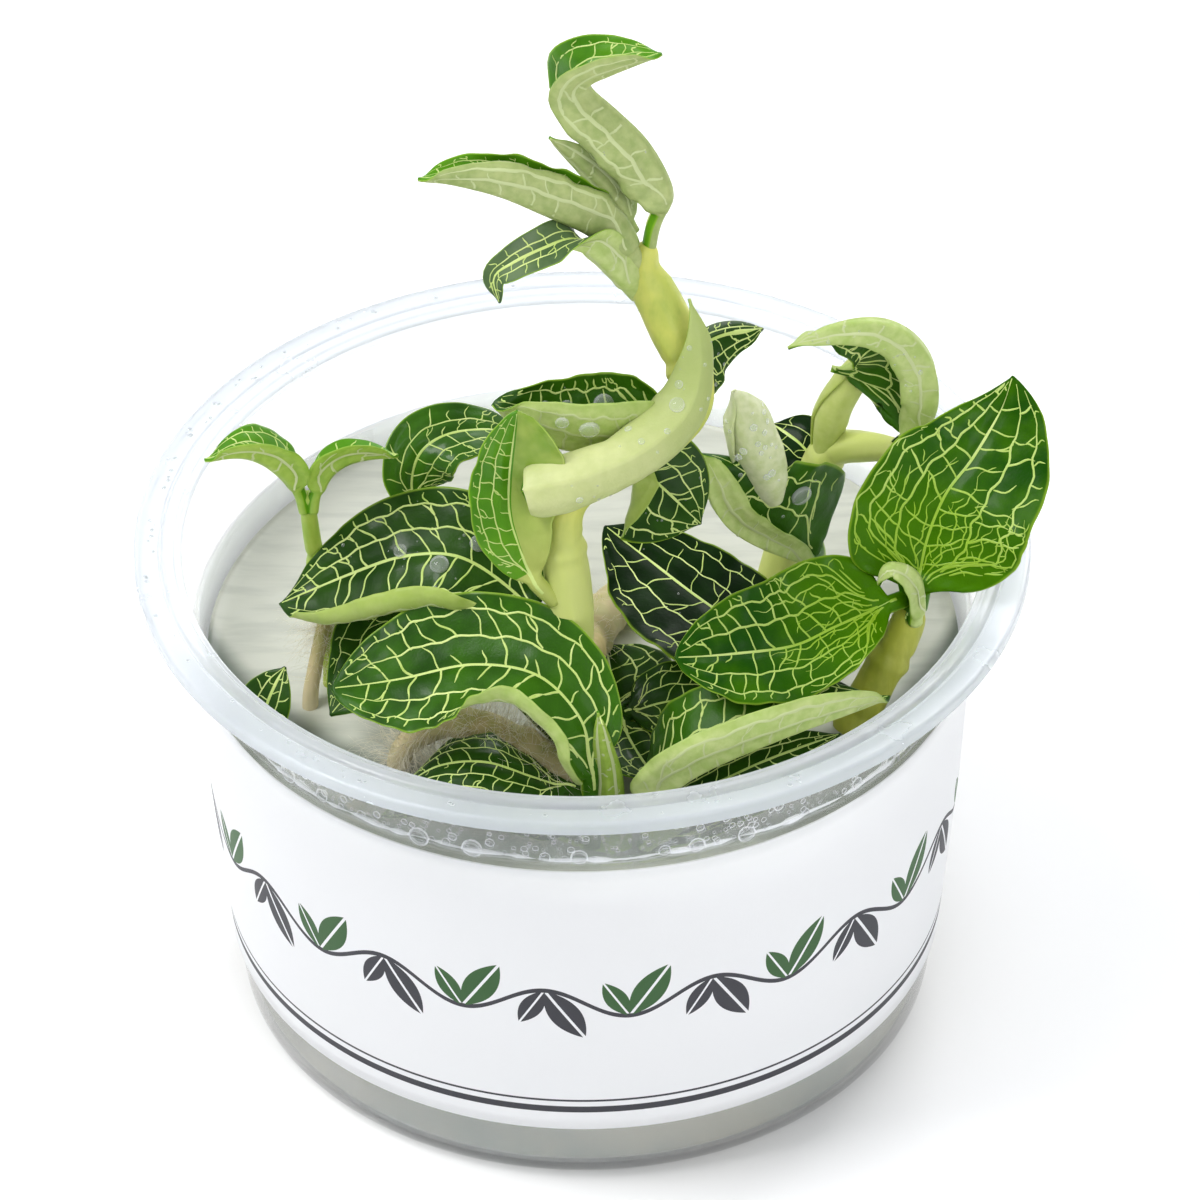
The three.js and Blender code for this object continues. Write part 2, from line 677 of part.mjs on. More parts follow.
    spine: [
      [-18, 3.5, 60.5], [-19, 4.5, 64], [-18, 6, 67.5], [-15, 7.5, 69], [-10.5, 9, 68.5],
      [-6.5, 10, 66.5],
    ],
    facing: [[0.5, -0.7, 0.4], [0.2, -0.5, 0.8], [0, -0.3, 0.95], [0, -0.2, 0.95]],
    steps: SMALL,
    stalk: 0.1,
    left: { width: 4, base: 0.35, tip: 0.6, fold: 0, curl: 20 },
    right: { width: 4.8, base: 0.35, tip: 0.6, fold: 0, curl: 20 },
  },
  {
    name: 'leaf_back_small',
    material: DARK_LEAF,
    spine: [[-19.5, 4, 53.5], [-20.5, 5, 56.5], [-22.5, 6, 57.5], [-25, 5.5, 56.5]],
    facing: [[0, -0.2, 0.95], [0, -0.4, 0.9]],
    steps: SMALL,
    stalk: 0.2,
    left: { width: 3.4, base: 0.4, tip: 0.5, fold: 0, curl: -20 },
    right: { width: 3.4, base: 0.4, tip: 0.5, fold: 0, curl: -20 },
  },
  {
    name: 'sprout_leaf_left',
    material: BRIGHT_LEAF,
    spine: [
      [-30.9, -8, 71], [-31, -8, 73.5], [-32.2, -8.5, 76], [-34.5, -9.5, 78], [-37, -10.5, 80],
      [-41, -11, 80.5],
    ],
    facing: [[0.6, 0, 0.8], [0.3, 0.1, 0.9], [0, 0.1, 1]],
    steps: SMALL,
    stalk: 0.2,
    stalkWidth: 0.8,
    left: { width: 3.4, base: 0.35, tip: 0.8, fold: 55, curl: 20 },
    right: { width: 3.6, base: 0.35, tip: 0.8, fold: 20, curl: 5 },
  },
  {
    name: 'sprout_leaf_right',
    material: BRIGHT_LEAF,
    spine: [
      [-29.1, -8, 71], [-29, -8, 73.5], [-27.8, -7.5, 75.5], [-26, -7, 76.5], [-23.5, -6.5, 77],
      [-20, -6, 76.5],
    ],
    facing: [[-0.6, 0, 0.8], [-0.3, 0.1, 0.9], [0, 0.1, 1]],
    steps: SMALL,
    stalk: 0.2,
    stalkWidth: 0.8,
    left: { width: 2.6, base: 0.4, tip: 0.8, fold: 20, curl: 5 },
    right: { width: 3.2, base: 0.35, tip: 0.9, fold: 55, curl: 20 },
  },
  {
    name: 'leaf_left_under',
    material: DARK_LEAF,
    spine: [
      [-2, -25, 51], [-12.5, -12, 54], [-17, -9, 56], [-21, -10.5, 55.5], [-24, -14.5, 53],
      [-28, -18.5, 50],
    ],
    facing: [[0, -0.3, 0.95], [-0.2, -0.6, 0.8], [-0.4, -0.7, 0.6]],
    steps: SMALL,
    stalk: 0.5,
    left: { width: 6, base: 0.5, tip: 0.75, fold: 0, curl: 15 },
    right: { width: 6, base: 0.5, tip: 0.75, fold: 0, curl: 15 },
  },
  {
    name: 'leaf_front_low',
    material: DARK_LEAF,
    spine: [[-0.5, -29, 47], [-6, -30.5, 51], [-11, -31, 53.5], [-16, -30.5, 52.5], [-20, -29, 48]],
    facing: [[0, -0.2, 1], [0, -0.2, 1]],
    steps: SMALL,
    stalk: 0.1,
    left: { width: 4.5, base: 0.5, tip: 0.75, fold: 0, curl: -25 },
    right: { width: 5, base: 0.5, tip: 0.75, fold: 0, curl: -25 },
  },
  {
    name: 'leaf_small_left',
    material: DARK_LEAF,
    spine: [[-36, -16, 46], [-35, -15.5, 49.5], [-34, -14.5, 51.5], [-33, -13.5, 53]],
    facing: [[-0.2, -0.7, 0.7], [-0.2, -0.7, 0.7]],
    steps: SMALL,
    stalk: 0.1,
    stalkWidth: 0.7,
    left: { width: 3.2, base: 0.5, tip: 0.9, fold: 5, curl: 15 },
    right: { width: 3, base: 0.5, tip: 0.9, fold: 5, curl: 15 },
  },
  {
    name: 'leaf_right_collar',
    material: BRIGHT_LEAF,
    spine: [[36.5, -13, 58], [36.5, -13, 63], [35.5, -13, 65], [33.5, -13.5, 66], [32.5, -14, 64]],
    facing: [[-0.8, -0.2, -0.3], [-0.4, -0.2, -0.8], [0.3, -0.3, -0.9]],
    steps: SMALL,
    stalk: 0.1,
    left: { width: 2.2, base: 0.5, tip: 0.75, fold: 20, curl: 40 },
    right: { width: 2.2, base: 0.5, tip: 0.75, fold: 20, curl: 40 },
  },
  {
    name: 'leaf_front_under',
    material: DARK_LEAF,
    spine: [[6.5, -29, 45], [13, -30.5, 49], [20, -30, 52.5], [28, -27, 53.5]],
    facing: [[0, -0.2, 1], [0, -0.2, 1]],
    steps: SMALL,
    stalk: 0.12,
    left: { width: 4, base: 0.5, tip: 0.75, fold: 0, curl: 10 },
    right: { width: 4, base: 0.5, tip: 0.75, fold: 0, curl: 10 },
  },
  {
    name: 'rosette_leaf_back',
    material: DARK_LEAF,
    spine: [[4, -16, 47], [3.5, -13, 48], [3, -9, 48], [2.5, -4, 48]],
    facing: [[0, -0.2, 1], [0, -0.2, 1]],
    steps: SMALL,
    stalk: 0.12,
    left: { width: 5, base: 0.5, tip: 0.6, fold: 5, curl: 10 },
    right: { width: 7, base: 0.5, tip: 0.6, fold: 5, curl: 10 },
  },
  {
    name: 'rosette_leaf_right',
    material: DARK_LEAF,
    spine: [[4, -16, 47], [7.5, -15.5, 48.5], [12, -15, 49], [17, -14.5, 48.5]],
    facing: [[0, -0.2, 1], [0, -0.2, 1]],
    steps: SMALL,
    stalk: 0.12,
    left: { width: 5, base: 0.5, tip: 0.75, fold: 5, curl: 10 },
    right: { width: 5.5, base: 0.5, tip: 0.75, fold: 5, curl: 10 },
  },
  {
    name: 'rosette_leaf_front',
    material: DARK_LEAF,
    spine: [[4, -16, 47], [5, -19.5, 47], [6.5, -23.5, 47], [8, -27.5, 47.5]],
    facing: [[0, -0.2, 1], [0, -0.2, 1]],
    steps: SMALL,
    stalk: 0.12,
    left: { width: 5.5, base: 0.5, tip: 0.75, fold: 5, curl: 10 },
    right: { width: 4.5, base: 0.5, tip: 0.75, fold: 5, curl: 10 },
  },
  {
    name: 'leaf_back_shaded',
    material: DARK_LEAF,
    spine: [[26.5, 7.5, 64], [24.5, 9, 66], [21.5, 12, 66.5]],
    facing: [[0, -0.5, 0.8], [0, -0.5, 0.8]],
    steps: SMALL,
    stalk: 0.12,
    left: { width: 3.5, base: 0.5, tip: 0.75, fold: 0, curl: 10 },
    right: { width: 3.5, base: 0.5, tip: 0.75, fold: 0, curl: 10 },
  },
  {
    name: 'leaf_front_sheath',
    material: PALE_LEAF,
    spine: [[2.5, -29.5, 45], [2.5, -30, 50.5], [2, -30.5, 55.5], [1.5, -30.5, 60]],
    facing: [BACK, BACK],
    steps: SMALL,
    stalk: 0,
    stalkWidth: 0.2,
    left: { width: 1.7, base: 0.06, tip: 0.35, fold: 5, curl: 50 },
    right: { width: 1.9, base: 0.06, tip: 0.35, fold: 5, curl: 50 },
  },
];

// ---- Assembly ----

// Earlier pieces keep their whole form. A later one is cut clear of each that it would cross.
function build() {
  const group = new THREE.Group();
  const add = (name, solid, material) => {
    const mesh = new THREE.Mesh(toGeometry(solid), material);
    mesh.name = name;
    group.add(mesh);
  };
  const floorCut = new THREE.CylinderGeometry(CUP.rimRadius, CUP.rimRadius, GEL.top + GAP, CUP.segments);
  floorCut.rotateX(Math.PI / 2).translate(0, 0, (GEL.top + GAP) / 2);
  const gelZone = toSolid(floorCut);

  const grown = [];
  for (const shoot of SHOOTS) {
    add(shoot.name, trimmed(shootSolid(shoot), grown), shoot.material);
    grown.push(shootSolid(shoot, GAP));
  }
  add('gel', gelSolid(grown), GEL_FINISH);
  for (const leaf of LEAVES) {
    add(leaf.name, trimmed(leafSolid(leaf), [...grown, gelZone]), leaf.material);
    grown.push(leafSolid(leaf, GAP));
  }
  for (const bud of BUDS) {
    add(bud.name, trimmed(shootSolid(bud), grown), bud.material);
    grown.push(shootSolid(bud, GAP));
  }
  add('cup', cupSolid(), CLEAR_PLASTIC);
  add('label', labelSolid(), PAPER);
  return group;
}

export default build();
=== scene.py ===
"""The looks of a jewel orchid in its clear culture cup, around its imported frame.

The lists of sizes and places are in millimetres, and Blender works in metres. +Z is up and -Y is
the front. Every leaf is one smooth surface over (t, v): t runs along the midrib from base to tip,
and v runs across, from -1 at the left margin to 1 at the right one.
"""
from __future__ import annotations

import json
import logging
import math
import random
from dataclasses import dataclass, field
from enum import Enum
from typing import Sequence, Union

import bpy
import numpy as np
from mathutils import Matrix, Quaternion, Vector


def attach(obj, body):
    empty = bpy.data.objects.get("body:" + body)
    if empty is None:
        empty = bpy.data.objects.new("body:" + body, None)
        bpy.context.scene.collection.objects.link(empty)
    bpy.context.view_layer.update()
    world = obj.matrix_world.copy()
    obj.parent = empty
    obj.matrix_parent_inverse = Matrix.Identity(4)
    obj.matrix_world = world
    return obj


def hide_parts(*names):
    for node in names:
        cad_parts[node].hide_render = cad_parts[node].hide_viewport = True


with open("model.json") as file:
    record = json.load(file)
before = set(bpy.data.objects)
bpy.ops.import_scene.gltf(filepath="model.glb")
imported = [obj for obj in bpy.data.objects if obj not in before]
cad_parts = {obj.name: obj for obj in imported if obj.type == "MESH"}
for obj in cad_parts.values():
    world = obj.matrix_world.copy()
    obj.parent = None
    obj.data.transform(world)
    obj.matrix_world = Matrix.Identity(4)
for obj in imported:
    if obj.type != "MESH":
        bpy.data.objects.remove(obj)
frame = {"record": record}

MM = 0.001
BODY = "root"
WELD = 1e-6  # vertices that lie closer than this, in metres, are merged
OUTWARDS = {"inside": False}
LOG = logging.getLogger("jewel_orchid")

Colour = tuple[float, float, float]
Point = tuple[float, float, float]
Pair = tuple[float, float]
Faces = list[tuple[int, ...]]
Piece = bpy.types.Object
Material = bpy.types.Material
Array = np.ndarray
Arrays = tuple[np.ndarray, np.ndarray]
Amount = Union[float, Sequence[float]]


# ---------- Shader expressions


@dataclass(frozen=True)
class Wire:
    """An output of a node in a shader, which Python expressions combine into Math nodes."""

    shader: "Shader"
    socket: bpy.types.NodeSocket

    def math(self, operation: str, *values: "Value") -> "Wire":
        """A Math node on this value and others.

        Args:
            operation: the Math node's operation.
            values: its other inputs.

        Returns:
            The result.
        """
        sockets = dict(enumerate((self, *values)))
        return self.shader.node("ShaderNodeMath", {"operation": operation}, sockets)

    def __add__(self, other: "Value") -> "Wire":
        """The sum."""
        return self.math("ADD", other)

    def __sub__(self, other: "Value") -> "Wire":
        """The difference."""
        return self.math("SUBTRACT", other)

    def __rsub__(self, other: float) -> "Wire":
        """The difference from a number."""
        return self.math("MULTIPLY_ADD", -1.0, other)

    def __mul__(self, other: "Value") -> "Wire":
        """The product."""
        return self.math("MULTIPLY", other)

    __radd__ = __add__
    __rmul__ = __mul__

    def step(self, low: float, high: float) -> "Wire":
        """Rises smoothly from 0 at low to 1 at high.

        Args:
            low: where it starts to rise.
            high: where it reaches 1.

        Returns:
            The eased value.
        """
        sockets = {"Value": self, "From Min": low, "From Max": high}
        return self.shader.node("ShaderNodeMapRange", {"interpolation_type": "SMOOTHSTEP"}, sockets)


Value = Union[float, Wire]


class Shader:
    """A material that is written as expressions."""

    def __init__(self, name: str) -> None:
        """Starts an empty material.

        Args:
            name: the material's name.
        """
        self.material = bpy.data.materials.new(name)
        self.material.use_nodes = True
        self.tree = self.material.node_tree
        self.tree.nodes.clear()

    def node(
        self,
        kind: str,
        settings: dict | None = None,
        sockets: dict | None = None,
        output: int | str = 0,
    ) -> Wire:
        """Adds a node.

        Args:
            kind: the node's type.
            settings: its own settings, which are set first.
            sockets: values or wires for its inputs, by name or index.
            output: which of its outputs to return.

        Returns:
            That output.
        """
        made = self.tree.nodes.new(kind)
        for name, value in (settings or {}).items():
            setattr(made, name, value)
        for name, value in (sockets or {}).items():
            if isinstance(value, Wire):
                self.tree.links.new(value.socket, made.inputs[name])
            else:
                made.inputs[name].default_value = value
        return Wire(self, made.outputs[output])

    def place(self) -> Wire:
        """The point in the object's own frame, in metres."""
        return self.node("ShaderNodeTexCoord", output="Object")

    def split(self, vector: Wire, part: int) -> Wire:
        """One part of a vector, 0 for X."""
        return self.node("ShaderNodeSeparateXYZ", None, {0: vector}, part)

    def chart(self, part: int) -> Wire:
        """One coordinate of the piece's own UV map, 0 for U."""
        return self.split(self.node("ShaderNodeUVMap", {"uv_map": "chart"}), part)

    def off_midrib(self) -> Wire:
        """How far a point lies off the leaf's midrib, up to 1 at the margin."""
        return (self.chart(0) - 0.5).math("ABSOLUTE") * 2.0

    def tone(self) -> Wire:
        """The tone kept on the mesh's points, from 0 to 1."""
        return self.node("ShaderNodeAttribute", {"attribute_name": "tone"}, output="Fac")

    def drawn_out(self, scale: Point, turn: float = 0.0) -> Wire:
        """The place, scaled and then turned round Z, which draws a pattern out in streaks."""
        sockets = {"Vector": self.place(), "Rotation": (0.0, 0.0, turn), "Scale": scale}
        return self.node("ShaderNodeMapping", None, sockets)

    def noise(self, size: float, detail: float = 2.0, vector: Wire | None = None) -> Wire:
        """Cloudy noise from 0 to 1.

        Args:
            size: the size of its clouds in millimetres.
            detail: how many finer layers it has.
            vector: the place to read it at.

        Returns:
            The noise.
        """
        sockets = {"Vector": vector or self.place(), "Scale": 1.0 / (size * MM), "Detail": detail}
        return self.node("ShaderNodeTexNoise", None, sockets)

    def mix(self, factor: Value, first: Colour | Wire, second: Colour | Wire) -> Wire:
        """A colour between two others.

        Args:
            factor: 0 for the first, 1 for the second.
            first: a colour.
            second: a colour.

        Returns:
            The mixed colour.
        """
        ends = [c if isinstance(c, Wire) else (*c, 1.0) for c in (first, second)]
        sockets = {0: factor, 6: ends[0], 7: ends[1]}
        return self.node("ShaderNodeMix", {"data_type": "RGBA"}, sockets, 2)

    def bump(self, height: Wire, depth: float, strength: float = 1.0) -> Wire:
        """A normal for a relief.

        Args:
            height: the relief, from 0 to 1.
            depth: its depth in millimetres.
            strength: how much of it shows.

        Returns:
            The normal.
        """
        sockets = {"Height": height, "Distance": depth * MM, "Strength": strength}
        return self.node("ShaderNodeBump", None, sockets)

    def finish(self, **sockets: object) -> Material:
        """Ends the material in one Principled shader.

        Args:
            sockets: its inputs, with _ for each space in a name. A colour has three parts.

        Returns:
            The material.
        """
        named = {}
        for name, value in sockets.items():
            plain = isinstance(value, tuple) and "Color" in name
            named[name.replace("_", " ")] = (*value, 1.0) if plain else value
        surface = self.node("ShaderNodeBsdfPrincipled", None, named)
        end = self.tree.nodes.new("ShaderNodeOutputMaterial")
        self.tree.links.new(surface.socket, end.inputs["Surface"])
        return self.material


# ---------- Finishes


def flesh(weight: float, reach: Point) -> dict[str, object]:
    """The inputs for light that spreads below a skin, as far as reach says for each colour, in mm."""
    radius = tuple(part * MM for part in reach)
    return {"Subsurface_Weight": weight, "Subsurface_Radius": radius, "Subsurface_Scale": 1.0}


@dataclass(frozen=True)
class UpperFinish:
    """The waxy upper side of a leaf.

    deep and fresh are its two greens, glow is how far the fresh green spreads from the leaf's base,
    gloss is its specular level, wet is how much its smoother patches shine, and edge is the colour
    of its margin.
    """

    name: str
    deep: Colour
    fresh: Colour
    glow: float = 0.0
    gloss: float = 0.14
    wet: float = 0.25
    edge: Colour = (0.26, 0.42, 0.03)

    MARGIN = (0.955, 1.0)
    BASE = (0.1, 0.75)

    def make(self) -> Material:
        """Makes the material.

        Returns:
            Two greens in clouds, with a paler margin and wet patches.
        """
        s = Shader(self.name)
        cloud = s.noise(5.0, 3.0).step(0.35, 0.7)
        near_base = (1.0 - s.chart(1).step(*self.BASE)) * self.glow
        tone = s.mix(cloud * 0.55, self.deep, self.fresh)
        tone = s.mix(near_base, tone, self.fresh)
        tone = s.mix(s.off_midrib().step(*self.MARGIN) * 0.7, tone, self.edge)
        grain = s.noise(0.22, 2.0)
        return s.finish(
            Base_Color=tone,
            Roughness=0.3 + grain * 0.16,
            Normal=s.bump(grain + s.noise(0.9, 1.0) * 1.5, 0.05, 0.6),
            Specular_IOR_Level=self.gloss,
            Coat_Weight=s.noise(8.0, 1.0).step(0.5, 0.62) * self.wet,
            Coat_Roughness=0.16,
        )


@dataclass(frozen=True)
class UnderFinish:
    """The pale satin underside of a leaf.

    mottling is how much of the green shows in small clouds, and far how much of it shows towards
    the tip.
    """

    name: str
    pale: Colour
    green: Colour
    mottling: float = 0.55
    far: float = 0.0

    MARGIN = (0.8, 1.0)
    TIP = (0.25, 0.75)

    def make(self) -> Material:
        """Makes the material.

        Returns:
            The pale skin, mottled with the green and greener at the margin.
        """
        s = Shader(self.name)
        mottle = s.noise(1.1, 4.0).step(0.3, 0.72)
        broad = s.noise(7.0, 1.0).step(0.35, 0.65)
        tone = s.mix(mottle * self.mottling + broad * 0.25, self.pale, self.green)
        tone = s.mix(s.off_midrib().step(*self.MARGIN) * 0.5, tone, self.green)
        tone = s.mix(s.chart(1).step(*self.TIP) * self.far, tone, self.green)
        grain = s.noise(0.3, 2.0)
        return s.finish(
            Base_Color=tone,
            Roughness=0.42 + grain * 0.15,
            Normal=s.bump(grain, 0.05, 0.6),
            Specular_IOR_Level=0.35,
            **flesh(0.12, (1.2, 1.6, 0.5)),
        )


@dataclass(frozen=True)
class VeinFinish:
    """A vein: faint where the mesh's tone is 0, and bold where it is 1."""

    name: str
    faint: Colour
    bold: Colour

    def make(self) -> Material:
        """Makes the material.

        Returns:
            The two tones, with faint patches.
        """
        s = Shader(self.name)
        tone = s.mix(s.tone(), self.faint, self.bold)
        tone = s.mix(s.noise(1.5, 2.0).step(0.55, 0.8) * 0.3, tone, self.faint)
        return s.finish(Base_Color=tone, Roughness=0.38, Specular_IOR_Level=0.4)


@dataclass(frozen=True)
class ShootFinish:
    """A juicy stem or a root, with a second colour in patches and streaks along it.

    low is its colour below low_height, which is in millimetres, and patch is the patches' size.
    """

    name: str
    main: Colour
    second: Colour
    low: Colour
    low_height: float
    roughness: float = 0.4
    patch: float = 4.0

    BLEND = 8.0

    def make(self) -> Material:
        """Makes the material.

        Returns:
            The streaked skin, which turns to its low colour over twice the blend.
        """
        s = Shader(self.name)
        lines = s.noise(0.7, 3.0, s.drawn_out((1.0, 1.0, 0.14)))
        patches = s.noise(self.patch, 3.0).step(0.35, 0.7)
        tone = s.mix(patches * 0.7 + lines.step(0.45, 0.75) * 0.3, self.main, self.second)
        foot = self.low_height * MM
        blend = self.BLEND * MM
        above = s.split(s.place(), 2).step(foot - blend, foot + blend)
        tone = s.mix(1.0 - above, tone, self.low)
        return s.finish(
            Base_Color=tone,
            Roughness=self.roughness + lines * 0.15,
            Normal=s.bump(lines, 0.12, 0.5),
            Specular_IOR_Level=0.4,
            **flesh(0.15, (1.5, 1.8, 0.5)),
        )


@dataclass(frozen=True)
class ClearFinish:
    """Clear or milky moulded plastic, a little hazed by wear.

    milk is how much of the light it scatters back, body how much of it isn't plainly seen through,
    and shine how bright its reflections are.
    """

    name: str
    colour: Colour
    ior: float
    roughness: float
    milk: float
    body: float
    shine: float = 1.0

    def make(self) -> Material:
        """Makes the material.

        Returns:
            The plastic, rougher in clouds.
        """
        s = Shader(self.name)
        haze = s.noise(6.0, 4.0).step(0.4, 0.8)
        return s.finish(
            Base_Color=self.colour,
            Roughness=self.roughness + haze * 0.08,
            IOR=self.ior,
            Transmission_Weight=1.0 - self.milk,
            Alpha=self.body,
            Specular_IOR_Level=0.5 * self.shine,
        )


@dataclass(frozen=True)
class DewFinish:
    """A flat drop seen against the light, with its own body at its rim and in its middle.

    Its middle takes a painted colour for the light and shade seen through the water, and its rim a
    painted highlight in a bright ring.
    """

    name: str
    rim: float
    middle: float
    painted_core: Colour

    RING = (0.62, 0.95)
    # the colour of the painted highlight ring at a drop's rim
    GLINT = (0.95, 0.97, 1.0)

    def make(self) -> Material:
        """Makes the material.

        Returns:
            The drop, with a painted highlight in a bright ring where the mesh's tone nears 1.
        """
        s = Shader(self.name)
        ring = s.tone().step(*self.RING)
        return s.finish(
            Base_Color=s.mix(ring, self.painted_core, self.GLINT),
            Roughness=0.06,
            Alpha=self.middle + ring * (self.rim - self.middle),
            Specular_IOR_Level=0.6,
        )


@dataclass(frozen=True)
class GelFinish:
    """Cloudy nutrient gel: a wet top with brushed streaks, and sides that are warmer at the left.

    front is the colour of painted shade on a band of its top near the wall at the front, where the
    leaves and the label shade it, and surface is the height of its top. RADIUS is about where the
    wall stands, WARM the stretch over which the sides turn warm, SKIN the stretch round its surface
    where the top begins, and SHADE_STARTS and SHADE_ENDS, which lie inwards from the wall, bound the
    painted shade. All lengths are in millimetres.
    """

    name: str
    top: Colour
    side: Colour
    warm: Colour
    front: Colour
    surface: float

    RADIUS = 2000.0**0.5
    WARM = (-40.0, -12.0)
    SKIN = (-1.2, -0.3)
    SHADE_STARTS = (4.5, 8.0)
    SHADE_ENDS = (16.0, 22.0)

    def make(self) -> Material:
        """Makes the material.

        Returns:
            The gel, its sides and its top each with their own colours.
        """
        s = Shader(self.name)
        brush = s.noise(1.6, 4.0, s.drawn_out((0.16, 1.0, 1.0), 0.9))
        cloud = s.noise(14.0, 3.0).step(0.35, 0.7)
        x, y, z = (s.split(s.place(), part) for part in range(3))
        warm = 1.0 - self.ramp(x, self.WARM)
        side = s.mix(cloud * 0.5 + warm * 0.35, self.side, self.warm)
        wall = ((self.RADIUS * MM) ** 2 - x * x).math("SQRT")
        skin = (self.surface + self.SKIN[0], self.surface + self.SKIN[1])
        inwards = y + wall
        shade = self.ramp(inwards, self.SHADE_STARTS) * (1.0 - self.ramp(inwards, self.SHADE_ENDS))
        top = s.mix(brush.step(0.4, 0.7) * 0.28, self.top, self.side)
        # painted shade: a band of the top near the front wall darkens to the front colour
        top = s.mix(shade, top, self.front)
        return s.finish(
            Base_Color=s.mix(self.ramp(z, skin), side, top),
            Roughness=0.3 + brush * 0.25,
            Normal=s.bump(brush, 0.15, 0.35),
            Specular_IOR_Level=0.45,
            Coat_Weight=0.1,
            Coat_Roughness=0.1,
        )

    @staticmethod
    def ramp(length: Wire, span: Pair) -> Wire:
        """Rises from 0 at the start of a span in millimetres to 1 at its end."""
        return length.step(span[0] * MM, span[1] * MM)


@dataclass(frozen=True)
class GlowFinish:
    """The back of thin paper, with a painted glow that stands in for the light shining through it."""

    name: str
    colour: Colour
    glow: float

    def make(self) -> Material:
        """Makes the material.

        Returns:
            The paper's back, with a faint painted glow.
        """
        return Shader(self.name).finish(
            Base_Color=self.colour,
            Roughness=0.7,
            Emission_Color=self.colour,
            Emission_Strength=self.glow,
        )


@dataclass(frozen=True)
class PaperFinish:
    """White label paper with a plain print: a winding stem with leaves, over two rules.

    REPEAT and HEIGHT are the print's repeat and height in millimetres, and VEIN is half the width
    of a leaf's bare midrib.
    """

    name: str
    paper: Colour
    ink: Colour
    green: Colour
    sprigs: int

    REPEAT = 19.3
    HEIGHT = 39.3
    VEIN = 0.02

    def make(self) -> Material:
        """Makes the material.

        Returns:
            The paper with its print.
        """
        s = Shader(self.name)
        height = s.chart(1)
        turn = (s.chart(0) * float(self.sprigs)).math("FRACT") - 0.5
        sway = (turn * (2 * math.pi)).math("SINE") * 0.05
        stem = self.near(height - sway, 0.5, 0.008)
        rules = self.near(height, 0.08, 0.012) + self.near(height, 0.115, 0.004)
        tone = s.mix((stem + rules).math("MINIMUM", 1.0), self.paper, self.ink)
        for shift, lean, ink in ((-0.25, 1.0, self.green), (0.25, -1.0, self.ink)):
            for slant, reach in ((1.0, 8.5), (2.1, 6.0)):
                leaf = self.sprig(turn - shift, (height - 0.5) * lean + 0.05, slant, reach)
                tone = s.mix(leaf, tone, ink)
        grain = s.noise(0.25, 3.0)
        return s.finish(
            Base_Color=tone,
            Roughness=0.48 + grain * 0.1,
            Normal=s.bump(grain, 0.02, 0.4),
            Specular_IOR_Level=0.35,
            **flesh(0.7, (1.0, 1.0, 1.0)),
        )

    @staticmethod
    def near(height: Wire, level: float, half: float) -> Wire:
        """1 within a half width of a level of the label, from 0 at its foot to 1 at its top."""
        return (height - level).math("ABSOLUTE").math("LESS_THAN", half)

    def sprig(self, cell: Wire, height: Wire, slant: float, reach: float) -> Wire:
        """1 inside a slanting leaf shape with a bare midrib.

        Args:
            cell: the place along the repeat, with the leaf's base at 0.
            height: the height above the leaf's base, in the label's height.
            slant: the angle that it rises at.
            reach: its length in millimetres.

        Returns:
            The mask.
        """
        run = cell * (self.REPEAT / reach)
        rise = height * (self.HEIGHT / reach)
        along_leaf = run * math.cos(slant) + rise * math.sin(slant)
        off = (rise * math.cos(slant) - run * math.sin(slant)).math("ABSOLUTE")
        bow = (along_leaf * (1.0 - along_leaf)).math("MAXIMUM", 0.0)
        inside = (bow * 0.85 - off).math("GREATER_THAN", 0.0)
        return inside * off.math("GREATER_THAN", self.VEIN)


class Tint(Enum):
    """The greens that a leaf can have."""

    BRIGHT = "bright"
    DARK = "dark"
    PALE = "pale"
    SHADE = "shade"
    FRESH = "fresh"
    CREAM = "cream"
    SUN = "sun"
    MIST = "mist"


